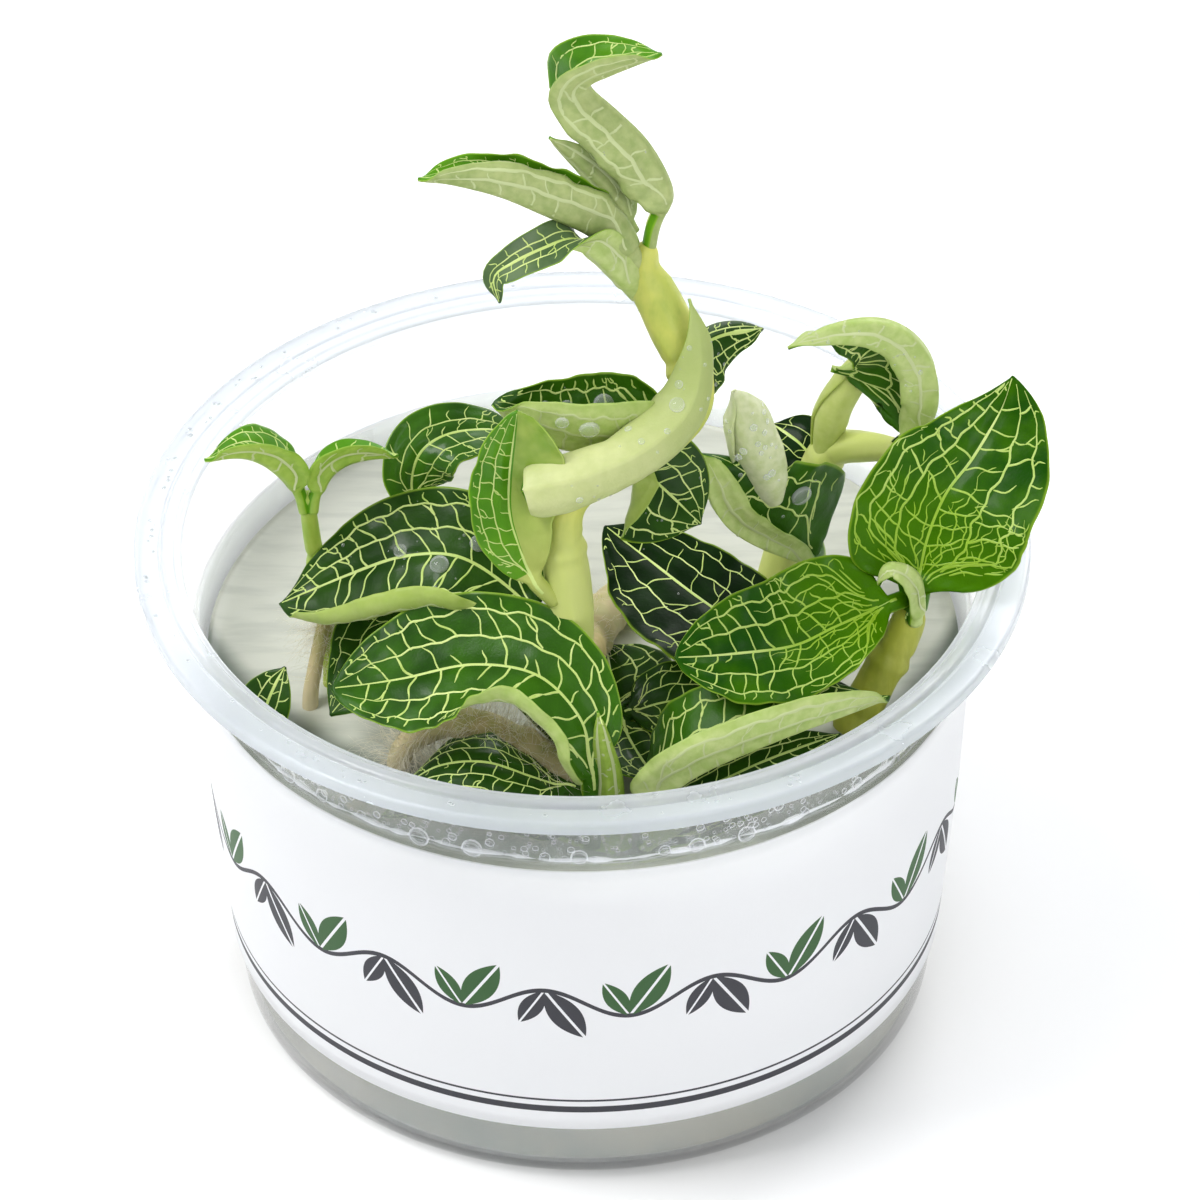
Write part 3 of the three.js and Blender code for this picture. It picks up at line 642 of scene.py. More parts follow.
class Finish:
    """All the materials, made once."""

    def __init__(self) -> None:
        """Makes every material."""
        self.leaf_tops()
        self.leaf_undersides()
        self.details()
        self.shoots()
        self.cup_and_label()

    def leaf_tops(self) -> None:
        """Makes the upper side of the leaves in each tint."""
        tops = {
            Tint.BRIGHT: ("bright", (0.014, 0.06, 0.002), (0.045, 0.16, 0.003), 0.6),
            Tint.DARK: ("dark", (0.01, 0.042, 0.002), (0.028, 0.09, 0.004), 0.0, 0.1),
            Tint.PALE: ("fresh", (0.05, 0.19, 0.004), (0.12, 0.32, 0.008), 0.5),
            Tint.SHADE: ("shade", (0.003, 0.012, 0.002), (0.008, 0.03, 0.004), 0.0, 0.04, 0.1),
            Tint.SUN: ("sun", (0.008, 0.06, 0.0), (0.055, 0.17, 0.0), 0.85, 0.06, 0.1),
            Tint.MIST: ("mist", (0.05, 0.1, 0.035), (0.13, 0.2, 0.08), 0.0),
        }
        self.upper = {
            tint: UpperFinish("leaf_upper_" + name, *values).make()
            for tint, (name, *values) in tops.items()
        }
        self.upper[Tint.FRESH] = self.upper[Tint.CREAM] = self.upper[Tint.PALE]
        lit = ((0.15, 0.27, 0.02), (0.42, 0.48, 0.12))
        self.lit = UpperFinish("leaf_lit", *lit, glow=1.0, gloss=0.2, edge=(0.5, 0.6, 0.15)).make()

    def leaf_undersides(self) -> None:
        """Makes the underside of the leaves in each tint."""
        under = UnderFinish("leaf_underside", (0.5, 0.59, 0.23), (0.31, 0.44, 0.09)).make()
        self.under = {tint: under for tint in Tint}
        others = {
            Tint.PALE: ("pale", (0.43, 0.49, 0.2), (0.24, 0.33, 0.09)),
            Tint.DARK: ("green", (0.4, 0.49, 0.14), (0.27, 0.38, 0.06), 0.35),
            Tint.FRESH: ("fresh", (0.36, 0.5, 0.08), (0.2, 0.36, 0.03)),
            Tint.CREAM: ("cream", (0.58, 0.62, 0.29), (0.3, 0.38, 0.1), 0.15, 0.75),
        }
        for tint, (name, *values) in others.items():
            self.under[tint] = UnderFinish("leaf_underside_" + name, *values).make()

    def details(self) -> None:
        """Makes the veins, the margins, the hairs and the skins of the buds."""
        self.edge = VeinFinish("leaf_edge", (0.22, 0.38, 0.03), (0.3, 0.5, 0.1)).make()
        self.vein = VeinFinish("vein_upper", (0.24, 0.42, 0.01), (0.62, 0.72, 0.26)).make()
        self.vein_under = VeinFinish("vein_underside", (0.46, 0.54, 0.24), (0.56, 0.62, 0.33)).make()
        self.hair = VeinFinish("root_hair", (0.8, 0.75, 0.6), (0.92, 0.9, 0.82)).make()
        self.bud = UnderFinish("bud_skin", (0.68, 0.72, 0.46), (0.48, 0.56, 0.25), 0.7).make()
        self.sheath = UnderFinish("sheath_skin", (0.56, 0.62, 0.22), (0.4, 0.5, 0.1), 0.4).make()

    def shoots(self) -> None:
        """Makes the skins of the stems and roots."""
        stem = ((0.6, 0.62, 0.13), (0.42, 0.5, 0.09), (0.56, 0.62, 0.19))
        olive = ((0.3, 0.34, 0.03), (0.44, 0.46, 0.06), (0.28, 0.3, 0.04))
        sprout = ((0.3, 0.45, 0.05), (0.42, 0.52, 0.09), (0.34, 0.4, 0.07))
        root = ((0.42, 0.33, 0.15), (0.24, 0.26, 0.05), (0.64, 0.56, 0.37))
        self.stem = ShootFinish("stem_skin", *stem, low_height=76.0).make()
        self.olive = ShootFinish("stem_olive", *olive, low_height=44.0).make()
        self.sprout = ShootFinish("sprout_skin", *sprout, low_height=50.0).make()
        self.root = ShootFinish("root_skin", *root, low_height=49.0, roughness=0.55, patch=3.0).make()

    def cup_and_label(self) -> None:
        """Makes the plastic, the paper, the gel and the water."""
        self.wall = ClearFinish("cup_wall_clear", (0.93, 0.95, 0.97), 1.45, 0.05, 0.03, 0.26, 0.8).make()
        self.rim = ClearFinish("cup_rim_milky", (0.8, 0.84, 0.89), 1.4, 0.22, 0.4, 0.85).make()
        # the paper's back glows with painted light, standing in for the light that shines through the paper
        self.painted_glow = GlowFinish("label_back", (0.86, 0.88, 0.9), 0.35).make()
        # the drops have painted colours: a middle for what shows through and a bright painted highlight
        # ring at the rim
        self.mist = DewFinish("condensation", 0.8, 0.12, (0.2, 0.24, 0.22)).make()
        self.dew = DewFinish("dew_drops", 0.3, 0.2, (0.72, 0.8, 0.7)).make()
        self.gel = GelFinish(
            "gel_body",
            top=(0.53, 0.54, 0.47),
            side=(0.26, 0.28, 0.25),
            warm=(0.42, 0.39, 0.31),
            # painted shade for the band of the gel's top near the front wall
            front=(0.11, 0.135, 0.105),
            surface=45.0,
        ).make()
        self.paper = PaperFinish(
            "label_print",
            paper=(0.8, 0.81, 0.84),
            ink=(0.035, 0.035, 0.045),
            green=(0.03, 0.1, 0.025),
            sprigs=14,
        ).make()


# ---------- Shapes in numbers


def along(values: Amount, t: Array) -> Array:
    """A value that changes evenly along a list of stations.

    Args:
        values: one number, or the numbers at evenly spread stations.
        t: places from 0 to 1.

    Returns:
        The value at each place.
    """
    if isinstance(values, (int, float)):
        return np.full(np.shape(t), float(values))
    return np.interp(t, np.linspace(0.0, 1.0, len(values)), values)


def eased(x: Array) -> Array:
    """A smooth step from 0 to 1."""
    c = np.clip(x, 0.0, 1.0)
    return c * c * (3.0 - 2.0 * c)


def unit(vectors: Array) -> Array:
    """The vectors at length 1."""
    return vectors / np.maximum(np.linalg.norm(vectors, axis=-1, keepdims=True), 1e-12)


class Spine:
    """A smooth curve through points, measured along its own length."""

    STEPS = 32

    def __init__(self, points: Sequence[Point]) -> None:
        """Lays the curve.

        Args:
            points: what it passes through, in millimetres.
        """
        p = np.asarray(points, float)
        p = np.vstack([2 * p[0] - p[1], p, 2 * p[-1] - p[-2]])
        s = np.linspace(0.0, 1.0, self.STEPS, endpoint=False)[:, None]
        runs = []
        for a, b, c, d in zip(p, p[1:], p[2:], p[3:]):
            bend = 2 * a - 5 * b + 4 * c - d
            twist = -a + 3 * b - 3 * c + d
            runs.append(0.5 * (2 * b + (c - a) * s + bend * s**2 + twist * s**3))
        self.points = np.vstack([*runs, p[-2][None]])
        hops = np.linalg.norm(np.diff(self.points, axis=0), axis=1)
        self.run = np.concatenate([[0.0], np.cumsum(hops)])
        self.length = self.run[-1]
        self.ahead = unit(np.gradient(self.points, self.run, axis=0))

    def at(self, t: Array) -> Arrays:
        """Points on the curve, and the way it runs there.

        Args:
            t: places from 0 to 1 of its length. Places outside carry on straight.

        Returns:
            The points and the unit tangents.
        """
        inside = np.clip(t, 0.0, 1.0)
        s = inside * self.length
        point = np.stack([np.interp(s, self.run, self.points[:, k]) for k in range(3)], -1)
        ahead = unit(np.stack([np.interp(s, self.run, self.ahead[:, k]) for k in range(3)], -1))
        return point + ahead * ((t - inside) * self.length)[..., None], ahead


# ---------- Mesh helpers


def clear_selection() -> None:
    """Leaves edit mode and deselects everything, because an operator acts on all that is selected."""
    if bpy.context.object and bpy.context.object.mode != "OBJECT":
        bpy.ops.object.mode_set(mode="OBJECT")
    bpy.ops.object.select_all(action="DESELECT")


def pick(piece: Piece) -> None:
    """Makes one object the only selected one.

    Args:
        piece: the object.
    """
    clear_selection()
    piece.select_set(True)
    bpy.context.view_layer.objects.active = piece


def places(piece: Piece) -> Array:
    """Reads the object's vertices.

    Args:
        piece: the object.

    Returns:
        One row for each vertex, in metres.
    """
    found = np.empty(len(piece.data.vertices) * 3)
    piece.data.vertices.foreach_get("co", found)
    return found.reshape(-1, 3)


def put(piece: Piece, points: Array) -> None:
    """Moves the object's vertices, given in millimetres."""
    piece.data.vertices.foreach_set("co", (points * MM).ravel())
    piece.data.update()


def sheet(name: str, columns: int, rows: int) -> tuple[Piece, Array, Array]:
    """Adds a flat grid to be shaped by a formula.

    Args:
        name: the piece's name.
        columns: faces across.
        rows: faces along.

    Returns:
        The grid, and for each vertex its place across and along, each from 0 to 1.
    """
    clear_selection()
    bpy.ops.mesh.primitive_grid_add(x_subdivisions=columns, y_subdivisions=rows, size=2)
    piece = bpy.context.object
    piece.name = piece.data.name = name
    piece.data.uv_layers[0].name = "chart"
    flat = places(piece)
    return piece, (flat[:, 0] + 1) / 2, (flat[:, 1] + 1) / 2


def stations(values: Array) -> Arrays:
    """The different values of a grid's coordinate, and which of them each vertex has."""
    return np.unique(values.round(6), return_inverse=True)


def worked(name: str, corners: Array, faces: Faces) -> Piece:
    """Adds a mesh whose corners are all worked out.

    Args:
        name: the piece's name.
        corners: its vertices in millimetres.
        faces: the vertices round each face.

    Returns:
        The object.
    """
    mesh = bpy.data.meshes.new(name)
    mesh.from_pydata((corners * MM).tolist(), [], faces)
    piece = bpy.data.objects.new(name, mesh)
    bpy.context.scene.collection.objects.link(piece)
    return piece


def shade(piece: Piece, tones: Array) -> None:
    """Keeps a tone on each vertex, which the materials read."""
    tone = piece.data.attributes.new("tone", "FLOAT", "POINT")
    tone.data.foreach_set("value", tones)


def apply(piece: Piece, kind: str, **settings: object) -> None:
    """Adds a modifier and applies it.

    Args:
        piece: the object.
        kind: the modifier's type.
        settings: its settings.
    """
    pick(piece)
    modifier = piece.modifiers.new(kind.title(), kind)
    for name, value in settings.items():
        setattr(modifier, name, value)
    bpy.ops.object.modifier_apply(modifier=modifier.name)


def edit(piece: Piece, *operations: tuple) -> None:
    """Runs edit-mode operators on the whole mesh.

    Args:
        piece: the object.
        operations: each an operator and its settings.
    """
    pick(piece)
    bpy.ops.object.mode_set(mode="EDIT")
    bpy.ops.mesh.select_all(action="SELECT")
    for operator, settings in operations:
        operator(**settings)
    bpy.ops.object.mode_set(mode="OBJECT")


def dress(piece: Piece, *materials: Material) -> None:
    """Gives the object its materials and smooth faces.

    Args:
        piece: the object.
        materials: its materials, in the order of their slots.
    """
    for material in materials:
        piece.data.materials.append(material)
    piece.data.shade_smooth()


def join(pieces: list[Piece]) -> Piece:
    """Joins meshes into the first one.

    Args:
        pieces: the objects.

    Returns:
        The first one.
    """
    pick(pieces[0])
    for piece in pieces:
        piece.select_set(True)
    if len(pieces) > 1:
        bpy.ops.object.join()
    return pieces[0]


def spun(name: str, outline: Sequence[Pair], steps: int) -> Piece:
    """Turns a closed outline round the Z axis.

    Args:
        name: the piece's name.
        outline: radius and height of each point, in millimetres.
        steps: how many segments go round.

    Returns:
        The closed body.
    """
    clear_selection()
    bpy.ops.mesh.primitive_circle_add(vertices=len(outline), radius=1.0)
    piece = bpy.context.object
    piece.name = piece.data.name = name
    flat = np.asarray(outline, float)
    put(piece, np.stack([flat[:, 0], np.zeros(len(flat)), flat[:, 1]], -1))
    spin = {"steps": steps, "angle": 2 * math.pi, "center": (0, 0, 0), "axis": (0, 0, 1)}
    edit(
        piece,
        (bpy.ops.mesh.spin, spin),
        (bpy.ops.mesh.select_all, {"action": "SELECT"}),
        (bpy.ops.mesh.remove_doubles, {"threshold": WELD}),
        (bpy.ops.mesh.dissolve_degenerate, {"threshold": WELD / 10}),
        (bpy.ops.mesh.normals_make_consistent, OUTWARDS),
    )
    return piece


def smooth_outline(corners: Sequence[Point]) -> list[Pair]:
    """Rounds the corners of a closed outline.

    Args:
        corners: radius, height and the bend's reach at each corner, in millimetres.

    Returns:
        The rounded outline.
    """
    steps, most = 5, 0.45
    found: list[Pair] = []
    spots = [np.array(corner[:2], float) for corner in corners]
    for i, (_, _, reach) in enumerate(corners):
        here = spots[i]
        if reach == 0:
            found.append(tuple(here))
            continue
        ends = []
        for other in (spots[i - 1], spots[(i + 1) % len(spots)]):
            span = np.linalg.norm(other - here)
            ends.append(here + (other - here) / span * min(reach, span * most))
        for s in np.linspace(0, 1, steps):
            found.append(tuple((1 - s) ** 2 * ends[0] + 2 * s * (1 - s) * here + s**2 * ends[1]))
    return found


def report(piece: Piece, slot: str, *nodes: str) -> None:
    """Ties a finished piece to the body, hides the nodes that it stands for and logs its triangles.

    Args:
        piece: the finished piece.
        slot: the record's material slot, which is not used.
        nodes: the CAD nodes that it replaces.
    """
    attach(piece, BODY)
    if nodes:
        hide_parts(*nodes)
    triangles = sum(len(face.vertices) - 2 for face in piece.data.polygons)
    LOG.info("%s: %d triangles", piece.name, triangles)


# ---------- Leaves


class Net(Enum):
    """How a leaf is veined."""

    BOLD = "bold"
    TANGLED = "tangled"
    SPARSE = "sparse"
    FAINT = "faint"


@dataclass(frozen=True)
class Half:
    """One half of a leaf.

    width is its largest width in millimetres. base and tip are the powers that its outline rises
    and falls with: the lower, the blunter. fold is the angle that it leaves the midrib at, and curl
    the angle that it turns through on its way to the margin, both in degrees and upwards. A lip
    over 1 keeps the curl near the margin.
    """

    width: float
    base: float
    tip: float
    fold: Amount
    curl: Amount
    lip: float = 1.0

    POINT = 0.45
    POINT_START = 14
    LEAST = 0.15

    def reach(self, u: Array, stalk: float) -> Array:
        """The half's width.

        Args:
            u: places along the blade, below 0 on the stalk.
            stalk: half the stalk's width in millimetres.

        Returns:
            The width at each place.
        """
        peak = self.base / (self.base + self.tip)
        top = peak**self.base * (1 - peak) ** self.tip
        inside = np.clip(u, 0.0, 1.0)
        blade = np.where(u > 0, self.width * inside**self.base * (1 - inside) ** self.tip / top, 0.0)
        blade = blade * (1 - self.POINT * inside**self.POINT_START)
        return np.maximum(np.cbrt(blade**3 + (stalk * np.minimum(1 - u, 1.0)) ** 3), self.LEAST)


@dataclass
class Vein:
    """A vein as places along (t) and across (v) a leaf, with its width in millimetres."""

    path: Array
    width: float
    tone: float
    taper: float = 0.35


@dataclass
class Leaf:
    """One leaf, and all that is on it. Sizes are in millimetres.

    facing holds the ways that its upper side looks, evenly spread from base to tip. stalk is the
    part of its length that is stalk, quilt how far the fields between the veins swell, ripple how
    far its margin waves, and lit_right says that light shines through its right half.
    """

    name: str
    tint: Tint
    spine: list[Point]
    facing: list[Point]
    left: Half
    right: Half
    stalk: float = 0.1
    stalk_width: float = 1.0
    net: Net = Net.BOLD
    quilt: float = 0.13
    ripple: float = 0.22
    thickness: float = 0.42
    margin: float = 0.1
    lit_right: bool = False

    ROWS = 260
    HALF_COLUMNS = 48
    FACE = 0.36
    INNER = 0.4
    OUTER = 0.76
    BROAD = 4
    TURN = 6.28

    def __post_init__(self) -> None:
        """Works out the leaf's middle surface as a fine table."""
        curve = Spine(self.spine)
        self.length = curve.length
        self.chance = random.Random(self.name)
        self.halves = ((-1, self.left), (1, self.right))
        t = np.linspace(0.0, 1.0, self.ROWS + 1)
        at, ahead = curve.at(t)
        facing = np.stack([along([f[k] for f in self.facing], t) for k in range(3)], -1)
        normal = unit(facing - (facing * ahead).sum(-1, keepdims=True) * ahead)
        right = np.cross(ahead, normal)
        sides = []
        for sign, half in self.halves:
            out, up = self.section(half, t)
            aside = sign * out[..., None] * right[:, None]
            sides.append(at[:, None] + aside + up[..., None] * normal[:, None])
        self.table = np.concatenate([sides[0][:, ::-1], sides[1][:, 1:]], axis=1)
        down = np.gradient(self.table, axis=0)
        across = np.gradient(self.table, axis=1)
        self.normals = unit(np.cross(across, down))

    def width_at(self, half: Half, t: Array) -> Array:
        """A half's width at places along the leaf."""
        return half.reach((t - self.stalk) / (1 - self.stalk), self.stalk_width)

    def size_at(self, t: Array, v: Array) -> Array:
        """The width of the half that each place lies on."""
        return np.where(v < 0, self.width_at(self.left, t), self.width_at(self.right, t))

    def section(self, half: Half, t: Array) -> Arrays:
        """A half's cross sections.

        Args:
            half: the half.
            t: stations along the leaf.

        Returns:
            How far out and how far up each point lies, one row a station.
        """
        width = self.width_at(half, t)
        ease = eased((width / half.width - 0.08) / 0.35)
        q = (np.arange(self.HALF_COLUMNS) + 0.5) / self.HALF_COLUMNS
        fold = np.radians(along(half.fold, t)) * ease
        curl = np.radians(along(half.curl, t)) * ease
        angle = fold[:, None] + curl[:, None] * q**half.lip
        step = width[:, None] / self.HALF_COLUMNS
        start = np.zeros((len(t), 1))
        out = np.hstack([start, np.cumsum(np.cos(angle) * step, axis=1)])
        up = np.hstack([start, np.cumsum(np.sin(angle) * step, axis=1)])
        return out, up

    def read(self, table: Array, t: Array, v: Array) -> Array:
        """Reads a table between its points.

        Args:
            table: the leaf's points or normals.
            t: places along the leaf.
            v: places across it.

        Returns:
            A row for each place.
        """
        row = np.clip(t, 0, 1) * self.ROWS
        column = (np.clip(v, -1, 1) + 1) * self.HALF_COLUMNS
        i = np.minimum(row.astype(int), self.ROWS - 1)
        j = np.minimum(column.astype(int), 2 * self.HALF_COLUMNS - 1)
        a = (row - i)[..., None]
        b = (column - j)[..., None]
        near = table[i, j] * (1 - b) + table[i, j + 1] * b
        far = table[i + 1, j] * (1 - b) + table[i + 1, j + 1] * b
        return near * (1 - a) + far * a

    def relief(self, t: Array, v: Array) -> Array:
        """The quilting between the veins and the ripple of the margin.

        Args:
            t: places along the leaf.
            v: places across it.

        Returns:
            How far each place stands above the plain surface.
        """
        size = self.size_at(t, v)
        off = np.abs(v)
        bands = np.interp(off, [0, self.INNER, self.OUTER, 1.0], [0, 1, 2, 2.7])
        run = t * self.length
        pillows = 0.72 + 0.28 * np.cos(2.2 * run + 2.1 * np.floor(bands))
        swell = np.abs(np.sin(np.pi * bands)) * pillows
        groove = np.exp(-((off * size / 0.7) ** 2))
        wave = np.sin(1.05 * run + np.where(v < 0, 0.0, 1.9)) + 0.5 * np.sin(2.3 * run + 0.7)
        calm = 1 - eased((t - 0.85) / 0.15)
        lifted = self.quilt * (swell - 1.5 * groove) + self.ripple * wave * off**5 * calm
        return lifted * eased((size - 1.6) / 3.0)

    def body(self, t: Array, v: Array) -> Arrays:
        """The leaf's thickness, round in the stalk and thin in the blade.

        Args:
            t: places along the leaf.
            v: places across it.

        Returns:
            How far the upper side stands above the middle surface, and the whole thickness.
        """
        size = self.size_at(t, v)
        u = (t - self.stalk) / (1 - self.stalk)
        off = np.abs(v)
        stalk = 1 - eased(u / 0.1 + 0.3)
        dome = np.minimum(size, 1.1 * self.stalk_width) * np.sqrt(np.clip(1 - off**2, 0, 1))
        rib = self.stalk_width * np.clip(1 - u, 0, 1) ** 0.7
        keel = 1.15 * rib * np.exp(-((off * size / (0.8 * rib + 0.25)) ** 2))
        edge = 1 - off**4
        above = 0.5 * self.thickness * edge
        whole = self.margin + (self.thickness - self.margin) * edge + keel
        round_whole = np.maximum(2 * dome, 0.1)
        return above + (dome - above) * stalk, whole + (round_whole - whole) * stalk

    def face(self, t: Array, v: Array, under: bool = False) -> Arrays:
        """Points on one face of the leaf.

        Args:
            t: places along the leaf.
            v: places across it.
            under: whether the face is the underside.

        Returns:
            The points and the ways that they face.
        """
        middle = self.read(self.table, t, v)
        normal = unit(self.read(self.normals, t, v))
        above, whole = self.body(t, v)
        height = self.relief(t, v) + above - (whole if under else 0.0)
        return middle + normal * height[..., None], -normal if under else normal

    def blade(self, finish: Finish) -> Piece:
        """The leaf's own body: its upper side, its margin and its underside in one closed skin.

        Args:
            finish: all the materials.

        Returns:
            The body.
        """
        rows = max(24, round(self.length / self.FACE))
        columns = 2 * max(12, round((self.left.width + self.right.width) / 2 / 0.3))
        piece, around, t = sheet(self.name + "_blade", 2 * columns + 2, rows)
        k = np.rint(around * (2 * columns + 2)) % (2 * columns + 2)
        over = k <= columns
        v = np.where(over, 2 * k / columns - 1, 1 - 2 * (k - columns - 1) / columns)
        upper, _ = self.face(t, v)
        lower, _ = self.face(t, v, True)
        put(piece, np.where(over[:, None], upper, lower))
        chart = piece.data.uv_layers["chart"].data
        for loop in piece.data.loops:
            chart[loop.index].uv = ((v[loop.vertex_index] + 1) / 2, t[loop.vertex_index])
        dress(piece, finish.upper[self.tint], finish.under[self.tint], finish.edge, finish.lit)
        lit = self.lit_right & ((v > 0) | (t < 1.4 * self.stalk))
        for face in piece.data.polygons:
            sides = [bool(over[i]) for i in face.vertices]
            plain = 3 if all(lit[i] for i in face.vertices) else 0
            face.material_index = plain if all(sides) else 2 if any(sides) else 1
        edit(
            piece,
            (bpy.ops.mesh.remove_doubles, {"threshold": WELD}),
            (bpy.ops.mesh.fill_holes, {"sides": 0}),
            (bpy.ops.mesh.normals_make_consistent, OUTWARDS),
        )
        return piece

    def ribbons(self, veins: list[Vein], under: bool, material: Material) -> Piece:
        """Raised bands that lie on one face of the leaf.

        Args:
            veins: their paths.
            under: whether they lie on the underside.
            material: their finish.

        Returns:
            The bands as one object.
        """
        corners: list[Array] = []
        faces: Faces = []
        tones: list[Array] = []
        count = 0
        sink = 0.03
        for vein in veins:
            t, v = vein.path[:, 0], vein.path[:, 1]
            points, normal = self.face(t, v, under)
            if len(points) < 2:
                continue
            ahead = unit(np.gradient(points, axis=0))
            side = unit(np.cross(normal, ahead))
            s = np.linspace(0, 1, len(points))
            narrowing = np.maximum(eased(1 - s / 0.12) * 0.4, eased((s - 0.7) / 0.3))
            half = (vein.width / 2 * (1 - (1 - vein.taper) * narrowing))[:, None]
            high = (0.012 + 0.04 * half) if under else (0.03 + 0.12 * half)
            rows = [
                points + side * half - normal * sink,
                points + side * half * 0.5 + normal * high * 0.8,
                points + normal * high,
                points - side * half * 0.5 + normal * high * 0.8,
                points - side * half - normal * sink,
            ]
            corners.append(np.stack(rows, 1).reshape(-1, 3))
            tone = vein.tone * (0.85 + 0.15 * np.cos(s * 9 + vein.tone * 7))
            if self.net is Net.TANGLED and not under:
                tone = tone * (0.12 + 0.88 * eased((t + 0.25 * np.abs(v) - 0.42) / 0.35))
            tones.append(np.repeat(tone, len(rows)))
            for i in range(len(points) - 1):
                for j in range(len(rows) - 1):
                    a = count + i * len(rows) + j
                    faces.append((a, a + len(rows), a + len(rows) + 1, a + 1))
            count += len(points) * len(rows)
        piece = worked(self.name + ("_under" if under else "_veins"), np.concatenate(corners), faces)
        shade(piece, np.concatenate(tones))
        dress(piece, material)
        return piece

    def dash(self, start: Pair, end: Pair, wobble: float, width: float, tone: float) -> Vein:
        """A wavy vein between two places of the leaf.

        Args:
            start: along and across of its start.
            end: along and across of its end.
            wobble: how far it strays, in millimetres.
            width: its width in millimetres.
            tone: its tone, from faint 0 to bold 1.

        Returns:
            The vein.
        """
        a, b = np.array(start, float), np.array(end, float)
        half = self.left if a[1] + b[1] < 0 else self.right
        size = float(self.width_at(half, np.array([(a[0] + b[0]) / 2]))[0])
        scale = np.array([self.length, size])
        reach = float(np.linalg.norm((b - a) * scale))
        count = max(6, int(reach / 0.4) + 1)
        s = np.linspace(0, 1, count)[:, None]
        phase = [self.chance.uniform(0, self.TURN) for _ in range(2)]
        turns = max(1.0, reach / 2.4)
        sway = np.sin(s * turns * 3.1 + phase[0]) * 0.7 + np.sin(s * turns * 5.7 + phase[1]) * 0.3
        sway = (sway - sway[0] * (1 - s) - sway[-1] * s) * wobble
        line = (b - a) * scale / max(reach, 1e-6)
        cross = np.array([-line[1], line[0]])
        return Vein(a + (b - a) * s + sway * cross / scale, width, tone)

    def long_vein(self, v: float, start: float, end: float, width: float, tone: float, wave: float) -> Vein:
        """A vein that runs with the midrib.

        Args:
            v: how far across it lies.
            start: where it starts along the leaf.
            end: where it ends.
            width: its width in millimetres.
            tone: its tone.
            wave: how far it strays across.

        Returns:
            The vein.
        """
        t = np.linspace(start, end, max(6, int((end - start) * self.length / 0.5)))
        run = t * self.length
        phase = self.chance.uniform(0, self.TURN)
        sway = wave * (np.sin(run * 1.25 + phase) + 0.6 * np.sin(run * 2.6 + 2 * phase))
        ends = eased((t - start) / 0.12)
        return Vein(np.stack([t, v * (0.35 + 0.65 * ends) + sway * ends], -1), width, tone, 0.3)

    def rungs(
        self, sign: int, low: float, high: float, spacing: float, width: float, tone: float
    ) -> list[Vein]:
        """The cross veins between two long ones.

        Args:
            sign: -1 for the left half, 1 for the right one.
            low: where they start across.
            high: where they end across.
            spacing: how far apart they lie, in millimetres.
            width: their width in millimetres.
            tone: their tone.

        Returns:
            The veins.
        """
        half = self.left if sign < 0 else self.right
        dice = self.chance
        plain, forked = 0.72, 0.88
        found: list[Vein] = []
        t = self.stalk + 0.06 + dice.uniform(0, spacing / self.length)
        while t < 0.95:
            size = float(self.width_at(half, np.array([t]))[0])
            slant = (high - low) * size * dice.uniform(0.15, 0.75) / self.length
            bold = tone * dice.uniform(0.75, 1.0)
            thick = width * dice.uniform(0.75, 1.1)
            start = (t, sign * low)
            end = (min(t + slant, 0.985), sign * high)
            kind = dice.random()
            if kind < plain:
                found.append(self.dash(start, end, 0.28, thick, bold))
            elif kind < forked:
                fork = (t + slant * 0.5, sign * (low + high) / 2)
                found.append(self.dash(start, fork, 0.2, thick, bold))
                found.append(self.dash(fork, end, 0.2, thick, bold))
                aside = (min(fork[0] + spacing * 0.55 / self.length, 0.98), sign * high)
                found.append(self.dash(fork, aside, 0.2, thick * 0.85, bold))
            else:
                stop = low + (high - low) * dice.uniform(0.4, 0.7)
                short = (t + slant * 0.6, sign * stop)
                found.append(self.dash(start, short, 0.3, thick * 0.85, bold))
            t += spacing * dice.uniform(0.75, 1.3) / self.length
        return found

    def net_veins(self) -> list[Vein]:
        """The veins of the upper side.

        Returns:
            What the leaf's kind of net has, on each half that isn't lit.
        """
        fine = self.net is Net.TANGLED
        sparse = self.net is Net.SPARSE
        inner, outer = self.INNER, self.OUTER
        veins = [self.long_vein(0.0, self.stalk * 0.6, 0.99, 0.55, 0.8, 0.0)]
        for sign, half in self.halves:
            if self.lit_right and sign > 0:
                continue
            broad = half.width > self.BROAD
            scale = min(1.0, max(0.6, half.width / 8.5))
            width = (0.26 if sparse else 0.35) * scale
            spacing = (4.2 if sparse else 2.6) * max(0.72, scale)
            tone = 0.6 if fine else 0.95
            veins.append(self.long_vein(sign * inner, self.stalk + 0.03, 0.975, width, tone, 0.02))
            if broad:
                end = 0.9 if sparse else 0.96
                veins.append(self.long_vein(sign * outer, self.stalk + 0.07, end, width * 0.9, tone, 0.028))
            veins += self.rungs(sign, 0.0, inner, spacing, width * 0.9, tone)
            veins += self.rungs(sign, inner, outer if broad else 0.9, spacing * 0.9, width * 0.9, tone)
            if broad:
                end = self.chance.uniform(0.9, 0.94)
                veins += self.rungs(sign, outer, end, spacing * 0.75, width * 0.75, tone * 0.85)
            if fine:
                veins += self.tangle(sign, half)
        return veins

